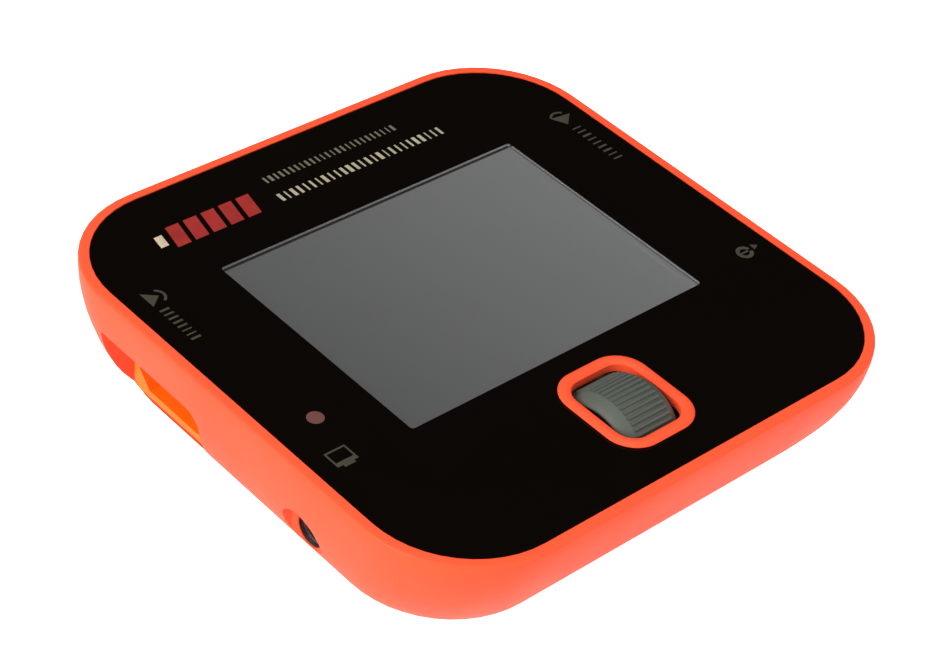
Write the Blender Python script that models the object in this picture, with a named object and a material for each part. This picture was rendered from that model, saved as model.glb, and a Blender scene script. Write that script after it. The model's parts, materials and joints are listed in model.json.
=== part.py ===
"""Balance battery charger: a palm-sized square case with a display, a scroll wheel that turns and
clicks, a power input and a data jack on the left, a power output and a balance socket on the
right, and a fan behind the grille of the base.

Metres, +Z up. The origin is on the surface the feet stand on, under the middle of the case.
+X is the output side, -Y is the front, where the wheel is.
"""

import math

import bmesh
import bpy
from mathutils import Matrix, Vector

# Overall sizes
CASE_WIDTH = 0.080
CASE_LENGTH = 0.080
FACE_HEIGHT = 0.0313
FOOT_HEIGHT = 0.0020

# Gaps between pieces
SEAT_GAP = 0.00015
PARTING_GAP = 0.0003
RUNNING_GAP = 0.00005
SLIDE_GAP = 0.0003
PORT_GAP = 0.0002

# Case shell
WALL = 0.0018
RIM_WIDTH = 0.0014
RIM_FILLET = 0.0004
CORNER_RADIUS = 0.0152
BASE_CORNER_RADIUS = 0.0130
LEDGE_WIDTH = 0.0030
LEDGE_DEPTH = 0.0020
LEDGE_SHOULDER = 0.0040
PARTING_HEIGHT = 0.0075
FLANGE_THICKNESS = 0.0015
FLANGE_TO_FAN = 0.0012
FLANGE_CORNER = 0.0030
# Each side curves in below the face as one Bezier: straight down by RISE, then towards a knee
# (inset, drop), and on to the edge of the base (BASE_INSET).
PORT_SIDE_RISE = 0.0175
PORT_SIDE_KNEE = (0.0076, 0.0165)
PORT_SIDE_BASE_INSET = 0.0185
FRONT_SIDE_RISE = 0.0066
FRONT_SIDE_KNEE = (0.0036, 0.0126)
FRONT_SIDE_BASE_INSET = 0.0163

# Front panel and display
PANEL_THICKNESS = 0.0010
PANEL_DROP = 0.0001
PANEL_GAP = 0.0001
GASKET_THICKNESS = 0.0003
WINDOW_WIDTH = 0.0491
WINDOW_LENGTH = 0.0368
WINDOW_TO_BACK = 0.0187
WINDOW_CORNER = 0.0003
LENS_THICKNESS = 0.0008
SCREEN_THICKNESS = 0.0010
SCREEN_BORDER = 0.0014
SCREEN_DRIVER_LEDGE = 0.0020
HOLDER_THICKNESS = 0.0024
HOLDER_BORDER = 0.0012
RIBBON_WIDTH = 0.0120
RIBBON_THICKNESS = 0.00025
RIBBON_RUN = 0.0006
HOLDER_TO_BOARD = 0.0006

# Status light
LIGHT_X = -0.03245
LIGHT_TO_FRONT = 0.0327
LIGHT_RADIUS = 0.0011
LED_SIZE = 0.0016
LED_HEIGHT = 0.0011

# Scroll wheel
WHEEL_TO_FRONT = 0.01355
WHEEL_RADIUS = 0.0072
WHEEL_PROUD = 0.0017
WHEEL_TREAD = 0.0059
WHEEL_WIDTH = 0.0091
WHEEL_SHOULDER = 0.0016
WHEEL_RIBS = 56
WHEEL_RIB_DEPTH = 0.00025
WHEEL_DISH = 0.0012
WHEEL_EDGE_BAND = 0.0010
HUB_RADIUS = 0.0030
AXLE_RADIUS = 0.0010
CRADLE_ARM = 0.0012
CRADLE_DEPTH = 0.0056
CRADLE_TOP = 0.0018
CRADLE_FLOOR = 0.0010
ENCODER_RADIUS = 0.0036
ENCODER_THICKNESS = 0.0015
PRESS_TRAVEL = 0.0005
AXLE_END_GAP = 0.0004
HUB_SHORTER = 0.0002
BEZEL_WALL = 0.00165
BEZEL_CLEARANCE_X = 0.00045
BEZEL_CLEARANCE_Y = 0.00035
BEZEL_CORNER = 0.0026
BEZEL_PROUD = 0.0004
BEZEL_CROWN = 0.0003
BEZEL_STEP = 0.0003
BEZEL_DEPTH = 0.0009
SWITCH_SIZE = 0.0045
SWITCH_HEIGHT = 0.0017
SWITCH_OFFSET = 0.0004
PLUNGER_RADIUS = 0.0011
PLUNGER_IN_SWITCH = 0.0008
WHEEL_FRAME_WALL = 0.0010
WHEEL_FRAME_FLOOR = 0.0009
WHEEL_FRAME_FRONT = 0.00205
WHEEL_FRAME_BACK = 0.0050

# Boards
BOARD_THICKNESS = 0.0012
POWER_BOARD_THICKNESS = 0.0016
POWER_BOARD_HEIGHT = 0.0120
CONTROL_BOARD_MARGIN = 0.0060
CONTROL_BOARD_CORNER = 0.0110
POWER_BOARD_MARGIN = 0.0024
POWER_BOARD_CORNER = 0.0070
BOARD_POST = (0.0175, 0.0215)
BOARD_POST_RADIUS = 0.0022

# Power connectors: a hollow input shell with two round pins, and an output block with two sockets
CONNECTOR_WIDTH = 0.0157
CONNECTOR_HEIGHT = 0.0078
CONNECTOR_DEPTH = 0.0130
CONNECTOR_WALL = 0.0010
CONNECTOR_CHAMFER = 0.0012
CONNECTOR_KEY = 0.0022
CONNECTOR_BACK = 0.0020
CONNECTOR_RECESS = 0.0047
CONNECTOR_DROP = 0.0115
INPUT_TO_BACK = 0.02415
OUTPUT_TO_BACK = 0.0250
PIN_RADIUS = 0.00175
PIN_SPACING = 0.0072
PIN_RECESS = 0.0016
PIN_TIP = 0.0008
PIN_TAIL = 0.0020
CONTACT_WALL = 0.0004
CONTACT_TAIL = 0.0015
CONTACT_STEPS = 20
POCKET_FLARE_FRONT = 0.0024
POCKET_FLARE_BACK = 0.0014
POCKET_FLARE_TOP = 0.0015
POCKET_FRONT_CORNER = 0.0032
POCKET_BACK_CORNER = 0.0006
POCKET_MARGIN = 0.0003
WELL_MARGIN = 0.0018
WELL_BACK = 0.0008

# Balance socket
BALANCE_TO_FRONT = 0.0259
BALANCE_WIDTH = 0.0199
BALANCE_HEIGHT = 0.0062
BALANCE_DEPTH = 0.0090
BALANCE_WALL = 0.0008
BALANCE_RECESS = 0.0058
BALANCE_DROP = 0.0125
TERMINALS = 7
TERMINAL_PITCH = 0.0025
TERMINAL_SIZE = 0.00064
TERMINAL_BAR = 0.0010
TERMINAL_RECESS = 0.0020
KEY_SLOT_TO_END = 0.0035
KEY_SLOT_HALF = 0.0008
KEY_SLOT_LENGTH = 0.0040

# Data jack
JACK_TO_FRONT = 0.0266
JACK_DROP = 0.0109
JACK_RADIUS = 0.0018
JACK_BODY = 0.0060
JACK_DEPTH = 0.0080
JACK_RECESS = 0.0032
JACK_HOLE_RADIUS = 0.0023
JACK_DISH_RADIUS = 0.0035
JACK_DISH_DEPTH = 0.0008
JACK_HOLE_PAST_WALL = 0.0008
JACK_BACK = 0.0012
JACK_SLEEVE_INSET = 0.0003

# Base, fan, screws and feet
BASE_WALL = 0.0016
BASE_FLOOR = 0.0015
FAN_SIZE = 0.0300
FAN_RIM = 0.0010
FAN_SCREW_TO_EDGE = 0.0030
FAN_THICKNESS = 0.0070
FAN_HUB_RADIUS = 0.0065
FAN_BLADES = 7
FAN_BLADE_THICKNESS = 0.0008
FAN_TIP_GAP = 0.0006
FAN_END_GAP = 0.0004
FAN_CUP_WALL = 0.0012
FAN_CUP_CHAMFER = 0.0006
FAN_BLADE_SWEEP = math.radians(24)
FAN_SPIDER = 0.0010
FAN_ARM_HALF = 0.0008
FAN_CORNER = 0.0025
FAN_SHAFT_RADIUS = 0.0008
FAN_SCREW_RADIUS = 0.0009
GRILLE_EDGE = 0.0008
GRILLE_SLOT = 0.0018
GRILLE_PITCH = 0.0033
VENT_WIDTH = 0.0018
VENT_HEIGHT = 0.0024
VENT_PITCH = 0.0040
VENTS = 7
BASE_EDGE = 0.0006
SCREW_RADIUS = 0.0010
SCREW_HEAD_RADIUS = 0.0018
SCREW_HEAD_HEIGHT = 0.0010
SCREW_SINK = 0.0002
SCREW_CHAMFER = 0.0003
SCREW_POINT = 0.0004
CROSS_HALF = 0.00025
CROSS_DEPTH = 0.0006
SCREW_X = 0.0062
SCREW_TO_FAN = 0.0024
SCREW_BOSS_RADIUS = 0.0022
SCREW_TIP_HEIGHT = 0.0105
FOOT_RADIUS = 0.0032
FOOT_CHAMFER = 0.0004
FOOT_X = 0.0148
FOOT_Y = 0.0172

# Parts on the power board
INDUCTOR_RADIUS = 0.0060
INDUCTOR_HEIGHT = 0.0075
INDUCTOR_PLACES = ((-0.0070, 0.0050), (0.0070, 0.0050))
CAPACITOR_RADIUS = 0.0040
CAPACITOR_HEIGHT = 0.0095
CAPACITOR_PLACES = ((-0.0105, -0.0085), (0.0, -0.0095), (0.0105, -0.0085))
HEATSINK_SIZE = (0.0280, 0.0060, 0.0085)
HEATSINK_FINS = 7
HEATSINK_FOOT = 0.0020
HEATSINK_Y = 0.0175
BUZZER_RADIUS = 0.0045
BUZZER_HEIGHT = 0.0040
BUZZER_HOLE_RADIUS = 0.0009
BUZZER_PLACE = (0.0190, -0.0060)
HEADER_SIZE = (0.0025, 0.0120)
HEADER_PLACE = (-0.0185, -0.0080)

# How finely round shapes are cut
CORNER_STEPS = 12
SIDE_STEPS = 16
BOARD_CORNER_STEPS = 4
POCKET_STEPS = 5
SMALL_ROUND = 12
MEDIUM_ROUND = 24
ROUND = 28
SMOOTH_ANGLE = math.radians(35)
CUT_MARGIN = 0.001

# Places and heights worked out from the sizes above
FRONT_Y = -CASE_LENGTH / 2
BACK_Y = CASE_LENGTH / 2
WINDOW_CENTRE_Y = BACK_Y - WINDOW_TO_BACK - WINDOW_LENGTH / 2
LIGHT_Y = FRONT_Y + LIGHT_TO_FRONT
WHEEL_Y = FRONT_Y + WHEEL_TO_FRONT
INPUT_Y = BACK_Y - INPUT_TO_BACK
OUTPUT_Y = BACK_Y - OUTPUT_TO_BACK
BALANCE_Y = FRONT_Y + BALANCE_TO_FRONT
JACK_Y = FRONT_Y + JACK_TO_FRONT
FAN_BORE_RADIUS = FAN_SIZE / 2 - FAN_RIM
FAN_SCREW_SPACING = FAN_SIZE - FAN_SCREW_TO_EDGE * 2
GRILLE_RADIUS = FAN_BORE_RADIUS - GRILLE_EDGE
SCREW_Y = FAN_SIZE / 2 + SCREW_TO_FAN + SCREW_BOSS_RADIUS
CONNECTOR_FACE_X = CASE_WIDTH / 2 - CONNECTOR_RECESS
BALANCE_FACE_X = CASE_WIDTH / 2 - BALANCE_RECESS
JACK_FACE_X = JACK_RECESS - CASE_WIDTH / 2
CONNECTOR_Z = FACE_HEIGHT - CONNECTOR_DROP
BALANCE_Z = FACE_HEIGHT - BALANCE_DROP
JACK_Z = FACE_HEIGHT - JACK_DROP
PANEL_TOP = FACE_HEIGHT - PANEL_DROP
PANEL_BOTTOM = PANEL_TOP - PANEL_THICKNESS
GASKET_TOP = PANEL_BOTTOM - SEAT_GAP
LEDGE_TOP = GASKET_TOP - GASKET_THICKNESS - SEAT_GAP
SCREEN_TOP = PANEL_BOTTOM - SEAT_GAP
HOLDER_TOP = SCREEN_TOP - SCREEN_THICKNESS - SEAT_GAP
HOLDER_BOTTOM = HOLDER_TOP - HOLDER_THICKNESS
CONTROL_BOARD_TOP = HOLDER_BOTTOM - HOLDER_TO_BOARD
CONTROL_BOARD_BOTTOM = CONTROL_BOARD_TOP - BOARD_THICKNESS
POWER_BOARD_TOP = POWER_BOARD_HEIGHT + POWER_BOARD_THICKNESS
PART_SEAT = POWER_BOARD_TOP + SEAT_GAP
WHEEL_Z = FACE_HEIGHT + WHEEL_PROUD - WHEEL_RADIUS
FLANGE_TOP = PARTING_HEIGHT + FLANGE_THICKNESS
BASE_TOP = PARTING_HEIGHT - PARTING_GAP
FLOOR_TOP = FOOT_HEIGHT + BASE_FLOOR
FAN_BOTTOM = FLOOR_TOP + SEAT_GAP
FAN_TOP = FAN_BOTTOM + FAN_THICKNESS
CASE_DROP = FACE_HEIGHT - FOOT_HEIGHT
FLANGE_OPENING = FAN_SIZE / 2 + FLANGE_TO_FAN

MATERIALS = {
    "orange_shell": ((1.0, 0.17, 0.06), 0.42, 0.0),
    "black_glass": ((0.006, 0.005, 0.004), 0.06, 0.0),
    "clear_glass": ((0.8, 0.8, 0.8), 0.04, 0.0),
    "foam": ((0.03, 0.03, 0.03), 0.9, 0.0),
    "screen": ((0.16, 0.16, 0.165), 0.25, 0.0),
    "white_plastic": ((0.75, 0.75, 0.72), 0.5, 0.0),
    "amber_film": ((0.55, 0.25, 0.05), 0.4, 0.0),
    "light_pipe": ((0.45, 0.28, 0.26), 0.3, 0.0),
    "wheel_rubber": ((0.09, 0.10, 0.085), 0.6, 0.0),
    "black_plastic": ((0.02, 0.02, 0.02), 0.5, 0.0),
    "steel": ((0.55, 0.55, 0.55), 0.3, 1.0),
    "board_green": ((0.02, 0.12, 0.05), 0.45, 0.0),
    "amber_plastic": ((0.95, 0.35, 0.03), 0.4, 0.0),
    "gold": ((0.83, 0.62, 0.25), 0.25, 1.0),
    "ivory_plastic": ((0.8, 0.76, 0.66), 0.5, 0.0),
    "copper": ((0.72, 0.35, 0.18), 0.35, 1.0),
    "capacitor_sleeve": ((0.03, 0.04, 0.10), 0.35, 0.0),
    "aluminium": ((0.7, 0.7, 0.72), 0.35, 1.0),
    "foot_rubber": ((0.03, 0.03, 0.03), 0.85, 0.0),
}


def clear_scene():
    for obj in list(bpy.data.objects):
        bpy.data.objects.remove(obj, do_unlink=True)


def material(name):
    """The named material, made the first time it is asked for."""
    found = bpy.data.materials.get(name)
    if found:
        return found
    colour, roughness, metallic = MATERIALS[name]
    made = bpy.data.materials.new(name)
    made.use_nodes = True
    shader = made.node_tree.nodes["Principled BSDF"]
    shader.inputs["Base Color"].default_value = (*colour, 1.0)
    shader.inputs["Roughness"].default_value = roughness
    shader.inputs["Metallic"].default_value = metallic
    return made


def piece(name, bm, finish, origin=(0, 0, 0), parent=None):
    """An object made of the bmesh, whose origin is put at the given point of the world."""
    bmesh.ops.recalc_face_normals(bm, faces=bm.faces)
    bmesh.ops.translate(bm, vec=-Vector(origin), verts=bm.verts)
    mesh = bpy.data.meshes.new(name)
    bm.to_mesh(mesh)
    bm.free()
    mesh.shade_smooth()
    mesh.set_sharp_from_angle(angle=SMOOTH_ANGLE)
    mesh.materials.append(material(finish))
    obj = bpy.data.objects.new(name, mesh)
    bpy.context.scene.collection.objects.link(obj)
    obj.location = origin
    if parent:
        obj.parent = parent
        obj.location = Vector(origin) - parent.location
    return obj


def pivot(name, location):
    """An empty on the axis of a moving body."""
    empty = bpy.data.objects.new(name, None)
    empty.location = location
    bpy.context.scene.collection.objects.link(empty)
    return empty


def boolean(target, tool, operation):
    """Adds or cuts the tool's shape, and turns the tool into a hidden helper."""
    step = target.modifiers.new(f"{operation.lower()}_{tool.name}", "BOOLEAN")
    step.operation = operation
    step.solver = "EXACT"
    step.object = tool
    tool.hide_render = True
    tool.display_type = "WIRE"


def cut(target, tool):
    boolean(target, tool, "DIFFERENCE")


def helper(name, bm):
    return piece(name, bm, "black_plastic")


def rounded_outline(half_x, half_y, radius, steps=CORNER_STEPS):
    """Corner points of a rounded rectangle about the origin, anticlockwise."""
    points = []
    for quarter in range(4):
        sign_x = (1, -1, -1, 1)[quarter]
        sign_y = (1, 1, -1, -1)[quarter]
        for step in range(steps + 1):
            angle = math.radians(90) * (quarter + step / steps)
            x = sign_x * (half_x - radius) + radius * math.cos(angle)
            y = sign_y * (half_y - radius) + radius * math.sin(angle)
            points.append((x, y))
    return points


def ring(bm, outline, z, centre=(0, 0)):
    return [bm.verts.new((x + centre[0], y + centre[1], z)) for x, y in outline]


def skin(bm, rings, capped=True):
    """Joins rings of as many points each with quads. The ends are capped, or joined together."""
    pairs = list(zip(rings, rings[1:]))
    if not capped:
        pairs.append((rings[-1], rings[0]))
    for lower, upper in pairs:
        count = len(lower)
        for i in range(count):
            j = (i + 1) % count
            bm.faces.new((lower[i], lower[j], upper[j], upper[i]))
    if capped:
        bm.faces.new(list(reversed(rings[0])))
        bm.faces.new(rings[-1])


def prism(outline, low, high, centre=(0, 0)):
    bm = bmesh.new()
    skin(bm, [ring(bm, outline, low, centre), ring(bm, outline, high, centre)])
    return bm


def box(low, high):
    bm = bmesh.new()
    size = Vector(high) - Vector(low)
    middle = (Vector(high) + Vector(low)) / 2
    bmesh.ops.create_cube(bm, size=1.0)
    bmesh.ops.scale(bm, vec=size, verts=bm.verts)
    bmesh.ops.translate(bm, vec=middle, verts=bm.verts)
    return bm


def add_box(bm, low, high):
    other = box(low, high)
    mesh = bpy.data.meshes.new("box")
    other.to_mesh(mesh)
    other.free()
    bm.from_mesh(mesh)
    bpy.data.meshes.remove(mesh)


def lathe(profile, segments, axis="Z", centre=(0, 0, 0)):
    """Turns (radius, height) points about the axis. A profile that starts and ends at radius 0 is
    closed by points on the axis; any other one is a closed loop, and makes a ring."""
    bm = bmesh.new()
    solid = profile[0][0] == 0
    rings = []
    for radius, height in profile[1:-1] if solid else profile:
        angles = [2 * math.pi * i / segments for i in range(segments)]
        outline = [(radius * math.cos(a), radius * math.sin(a)) for a in angles]
        rings.append(ring(bm, outline, height))
    skin(bm, rings, capped=solid)
    turn = {"Z": Matrix(), "X": Matrix.Rotation(math.radians(90), 4, "Y")}[axis]
    bmesh.ops.transform(bm, matrix=Matrix.Translation(centre) @ turn, verts=bm.verts)
    return bm


def rod(radius, low, high, segments=SMALL_ROUND, axis="Z", centre=(0, 0)):
    """A plain round bar from low to high along the axis."""
    profile = [(0, low), (radius, low), (radius, high), (0, high)]
    place = {"Z": (*centre, 0), "X": (0, *centre)}[axis]
    return lathe(profile, segments, axis, place)


def tube(outer, inner, low, high, segments=SMALL_ROUND, axis="Z", centre=(0, 0)):
    profile = [(outer, low), (outer, high), (inner, high), (inner, low)]
    place = {"Z": (*centre, 0), "X": (0, *centre)}[axis]
    return lathe(profile, segments, axis, place)


def bezier(start, first, second, end, t):
    s = 1 - t
    return s**3 * start + 3 * s * s * t * first + 3 * s * t * t * second + t**3 * end


def side_inset(drop, rise, knee, base_inset):
    """How far a side has curved in at this drop below the face."""
    low = 0.0
    high = 1.0
    for _ in range(40):
        middle = (low + high) / 2
        if bezier(0, rise, knee[1], CASE_DROP, middle) < drop:
            low = middle
        else:
            high = middle
    return bezier(0, 0, knee[0], base_inset, low)


def case_section(z, inwards=0.0):
    """Half width, half length and corner radius of the case at a height."""
    drop = FACE_HEIGHT - z
    inset_x = side_inset(drop, PORT_SIDE_RISE, PORT_SIDE_KNEE, PORT_SIDE_BASE_INSET)
    inset_y = side_inset(drop, FRONT_SIDE_RISE, FRONT_SIDE_KNEE, FRONT_SIDE_BASE_INSET)
    radius = CORNER_RADIUS + (BASE_CORNER_RADIUS - CORNER_RADIUS) * drop / CASE_DROP
    return CASE_WIDTH / 2 - inset_x - inwards, CASE_LENGTH / 2 - inset_y - inwards, radius - inwards


def case_ring(bm, z, inwards=0.0):
    return ring(bm, rounded_outline(*case_section(z, inwards)), z)


def steps_between(low, high, count):
    return [low + (high - low) * i / count for i in range(count + 1)]


def pocket_ring(bm, x, low, high, front_radius, back_radius):
    """A ring in the plane at x, between two (y, z) corners, with its own roundness at the end
    towards the front of the case and at the end towards the back."""
    verts = []
    for quarter, radius in enumerate((back_radius, front_radius, front_radius, back_radius)):
        centre_y = low[0] + radius if quarter in (1, 2) else high[0] - radius
        centre_z = low[1] + radius if quarter in (2, 3) else high[1] - radius
        for step in range(POCKET_STEPS + 1):
            angle = math.radians(90) * (quarter + step / POCKET_STEPS)
            y = centre_y + radius * math.cos(angle)
            verts.append(bm.verts.new((x, y, centre_z + radius * math.sin(angle))))
    return verts


def connector_pocket(side, centre_y):
    """The flared hollow in front of a power connector. It widens towards the front and the back of
    the case, and runs past the case's surface."""
    half = CONNECTOR_WIDTH / 2 + POCKET_MARGIN
    low_z = CONNECTOR_Z - CONNECTOR_HEIGHT / 2 - POCKET_MARGIN
    high_z = CONNECTOR_Z + CONNECTOR_HEIGHT / 2 + POCKET_MARGIN
    reach = CASE_WIDTH / 2 - CONNECTOR_FACE_X
    past = (reach + CUT_MARGIN) / reach
    bm = bmesh.new()
    floor = pocket_ring(
        bm,
        side * (CONNECTOR_FACE_X - SEAT_GAP),
        (centre_y - half, low_z),
        (centre_y + half, high_z),
        POCKET_FRONT_CORNER / 4,
        POCKET_BACK_CORNER,
    )
    mouth = pocket_ring(
        bm,
        side * (CONNECTOR_FACE_X + reach * past),
        (centre_y - half - POCKET_FLARE_FRONT * past, low_z),
        (centre_y + half + POCKET_FLARE_BACK * past, high_z + POCKET_FLARE_TOP * past),
        POCKET_FRONT_CORNER,
        POCKET_BACK_CORNER,
    )
    skin(bm, [floor, mouth])
    return bm


def port_well(name, side, face_x, centre, size):
    """A block of material kept behind the case's wall, for a port to be cut in."""
    half_y = size[0] / 2 + WELL_MARGIN
    half_z = size[1] / 2 + WELL_MARGIN
    xs = sorted((side * (face_x - WELL_BACK), side * (CASE_WIDTH / 2 + CUT_MARGIN)))
    return helper(
        name,
        box(
            (xs[0], centre[0] - half_y, centre[1] - half_z),
            (xs[1], centre[0] + half_y, centre[1] + half_z),
        ),
    )


def port_hole(name, side, face_x, depth, centre, size):
    """A rectangular passage for a port's shell."""
    half_y = size[0] / 2 + PORT_GAP
    half_z = size[1] / 2 + PORT_GAP
    xs = sorted((side * (face_x - depth), side * (CASE_WIDTH / 2 + CUT_MARGIN)))
    return helper(
        name,
        box(
            (xs[0], centre[0] - half_y, centre[1] - half_z),
            (xs[1], centre[0] + half_y, centre[1] + half_z),
        ),
    )


def make_cavity():
    """The hollow of the housing, with the material of wells and posts left out of it."""
    bm = bmesh.new()
    heights = steps_between(FLANGE_TOP, LEDGE_TOP - LEDGE_SHOULDER, 6)
    rings = [case_ring(bm, z, WALL) for z in heights]
    half_x, half_y, radius = case_section(LEDGE_TOP, RIM_WIDTH + LEDGE_WIDTH)
    outline = rounded_outline(half_x, half_y, radius)
    rings.append(ring(bm, outline, LEDGE_TOP - LEDGE_DEPTH))
    rings.append(ring(bm, outline, FACE_HEIGHT + CUT_MARGIN))
    skin(bm, rings)
    cavity = helper("housing_cavity", bm)
    power_size = (CONNECTOR_WIDTH, CONNECTOR_HEIGHT)
    balance_size = (BALANCE_WIDTH, BALANCE_HEIGHT)
    wells = [
        port_well("input_well", -1, CONNECTOR_FACE_X, (INPUT_Y, CONNECTOR_Z), power_size),
        port_well("output_well", 1, CONNECTOR_FACE_X, (OUTPUT_Y, CONNECTOR_Z), power_size),
        port_well("balance_well", 1, BALANCE_FACE_X, (BALANCE_Y, BALANCE_Z), balance_size),
        port_well("jack_well", -1, -JACK_FACE_X, (JACK_Y, JACK_Z), (JACK_BODY, JACK_BODY)),
    ]
    for well in wells:
        cut(cavity, well)
    for i, (x, y) in enumerate(corners(*BOARD_POST)):
        post = helper(
            f"board_post_{i + 1}",
            rod(
                BOARD_POST_RADIUS,
                PARTING_HEIGHT,
                POWER_BOARD_HEIGHT - SEAT_GAP,
                centre=(x, y),
            ),
        )
        cut(cavity, post)
    for i, (x, y) in enumerate(corners(SCREW_X, SCREW_Y)):
        boss = helper(
            f"housing_boss_{i + 1}",
            rod(SCREW_BOSS_RADIUS, PARTING_HEIGHT, POWER_BOARD_HEIGHT - SEAT_GAP, centre=(x, y)),
        )
        cut(cavity, boss)
    return cavity


def corners(x, y):
    return [(-x, -y), (x, -y), (-x, y), (x, y)]


def make_housing():
    bm = bmesh.new()
    heights = steps_between(PARTING_HEIGHT, FACE_HEIGHT - RIM_FILLET, SIDE_STEPS)
    rings = [case_ring(bm, z) for z in heights]
    half_x, half_y, radius = case_section(FACE_HEIGHT - RIM_FILLET)
    for step in (1, 2, 3):
        angle = math.radians(90) * step / 3
        inset = RIM_FILLET * (1 - math.cos(angle))
        height = FACE_HEIGHT - RIM_FILLET * (1 - math.sin(angle))
        outline = rounded_outline(half_x - inset, half_y - inset, radius - inset)
        rings.append(ring(bm, outline, height))
    skin(bm, rings)
    housing = piece("housing", bm, "orange_shell")
    cut(housing, make_cavity())

    half_x, half_y, radius = case_section(FACE_HEIGHT, RIM_WIDTH)
    seat = prism(rounded_outline(half_x, half_y, radius), LEDGE_TOP, FACE_HEIGHT + CUT_MARGIN)
    cut(housing, helper("panel_seat", seat))

    opening = prism(
        rounded_outline(FLANGE_OPENING, FLANGE_OPENING, FLANGE_CORNER, steps=3),
        PARTING_HEIGHT - CUT_MARGIN,
        FLANGE_TOP + CUT_MARGIN,
    )
    cut(housing, helper("flange_opening", opening))

    cut(housing, helper("input_pocket", connector_pocket(-1, INPUT_Y)))
    cut(housing, helper("output_pocket", connector_pocket(1, OUTPUT_Y)))
    for name, side, centre_y in (("input_hole", -1, INPUT_Y), ("output_hole", 1, OUTPUT_Y)):
        xs = sorted((side * (CONNECTOR_FACE_X - CONNECTOR_DEPTH), side * CASE_WIDTH / 2))
        hole = keyed_prism(*xs, centre_y, connector_outline(PORT_GAP, CONNECTOR_CHAMFER))
        cut(housing, helper(name, hole))
    centre = (BALANCE_Y, BALANCE_Z)
    size = (BALANCE_WIDTH, BALANCE_HEIGHT)
    cut(housing, port_hole("balance_hole", 1, BALANCE_FACE_X, BALANCE_DEPTH, centre, size))
    surface_x = -case_section(JACK_Z)[0]
    hole_end = JACK_FACE_X - surface_x + WALL + JACK_HOLE_PAST_WALL
    dish = [
        (0, -CUT_MARGIN * 2),
        (JACK_DISH_RADIUS + CUT_MARGIN * 0.4, -CUT_MARGIN * 2),
        (JACK_DISH_RADIUS, 0.0),
        (JACK_DISH_RADIUS * 0.88, JACK_DISH_DEPTH),
        (JACK_HOLE_RADIUS * 1.25, JACK_DISH_DEPTH * 1.05),
        (JACK_HOLE_RADIUS, JACK_DISH_DEPTH * 1.5),
        (JACK_HOLE_RADIUS, hole_end),
        (0, hole_end),
    ]
    jack_cut = lathe(dish, ROUND, "X", (surface_x, JACK_Y, JACK_Z))
    cut(housing, helper("jack_dish", jack_cut))
    body_cut = port_hole(
        "jack_body_hole", -1, -JACK_FACE_X, JACK_DEPTH, (JACK_Y, JACK_Z), (JACK_BODY, JACK_BODY)
    )
    trim_front(body_cut, JACK_FACE_X - PORT_GAP)
    cut(housing, body_cut)
    for i, (x, y) in enumerate(corners(SCREW_X, SCREW_Y)):
        hole = rod(
            SCREW_RADIUS + RUNNING_GAP,
            PARTING_HEIGHT - CUT_MARGIN,
            SCREW_TIP_HEIGHT + SEAT_GAP * 2,
            centre=(x, y),
        )
        cut(housing, helper(f"screw_hole_{i + 1}", hole))
    return housing


def trim_front(tool, front_x):
    """Moves the outer end of a left-hand passage in to a plane at front_x."""
    for vertex in tool.data.vertices:
        if vertex.co.x < front_x:
            vertex.co.x = front_x


def make_front_panel():
    half_x, half_y, radius = case_section(FACE_HEIGHT, RIM_WIDTH + PANEL_GAP)
    outline = rounded_outline(half_x, half_y, radius)
    panel = piece("front_panel", prism(outline, PANEL_BOTTOM, PANEL_TOP), "black_glass")
    low = PANEL_BOTTOM - CUT_MARGIN
    high = PANEL_TOP + CUT_MARGIN
    window = rounded_outline(WINDOW_WIDTH / 2, WINDOW_LENGTH / 2, WINDOW_CORNER, steps=1)
    cut(panel, helper("window_cut", prism(window, low, high, (0, WINDOW_CENTRE_Y))))
    half_x, half_y, radius = bezel_body_section(PORT_GAP)
    bezel_hole = prism(rounded_outline(half_x, half_y, radius), low, high, (0, WHEEL_Y))
    cut(panel, helper("bezel_cut", bezel_hole))
    light_hole = rod(LIGHT_RADIUS + RUNNING_GAP, low, high, centre=(LIGHT_X, LIGHT_Y))
    cut(panel, helper("light_cut", light_hole))

    lens_outline = rounded_outline(
        WINDOW_WIDTH / 2 - PANEL_GAP, WINDOW_LENGTH / 2 - PANEL_GAP, WINDOW_CORNER, steps=1
    )
    lens = prism(lens_outline, PANEL_TOP - LENS_THICKNESS, PANEL_TOP, (0, WINDOW_CENTRE_Y))
    piece("display_lens", lens, "clear_glass")

    half_x, half_y, radius = case_section(FACE_HEIGHT, RIM_WIDTH + PANEL_GAP * 3)
    inner_x, inner_y, inner_radius = case_section(FACE_HEIGHT, RIM_WIDTH + LEDGE_WIDTH)
    bm = bmesh.new()
    outer = rounded_outline(half_x, half_y, radius)
    inner = rounded_outline(inner_x, inner_y, inner_radius)
    low = GASKET_TOP - GASKET_THICKNESS
    rings = [ring(bm, outer, low), ring(bm, outer, GASKET_TOP)]
    rings += [ring(bm, inner, GASKET_TOP), ring(bm, inner, low)]
    skin(bm, rings, capped=False)
    piece("panel_gasket", bm, "foam")


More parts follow.
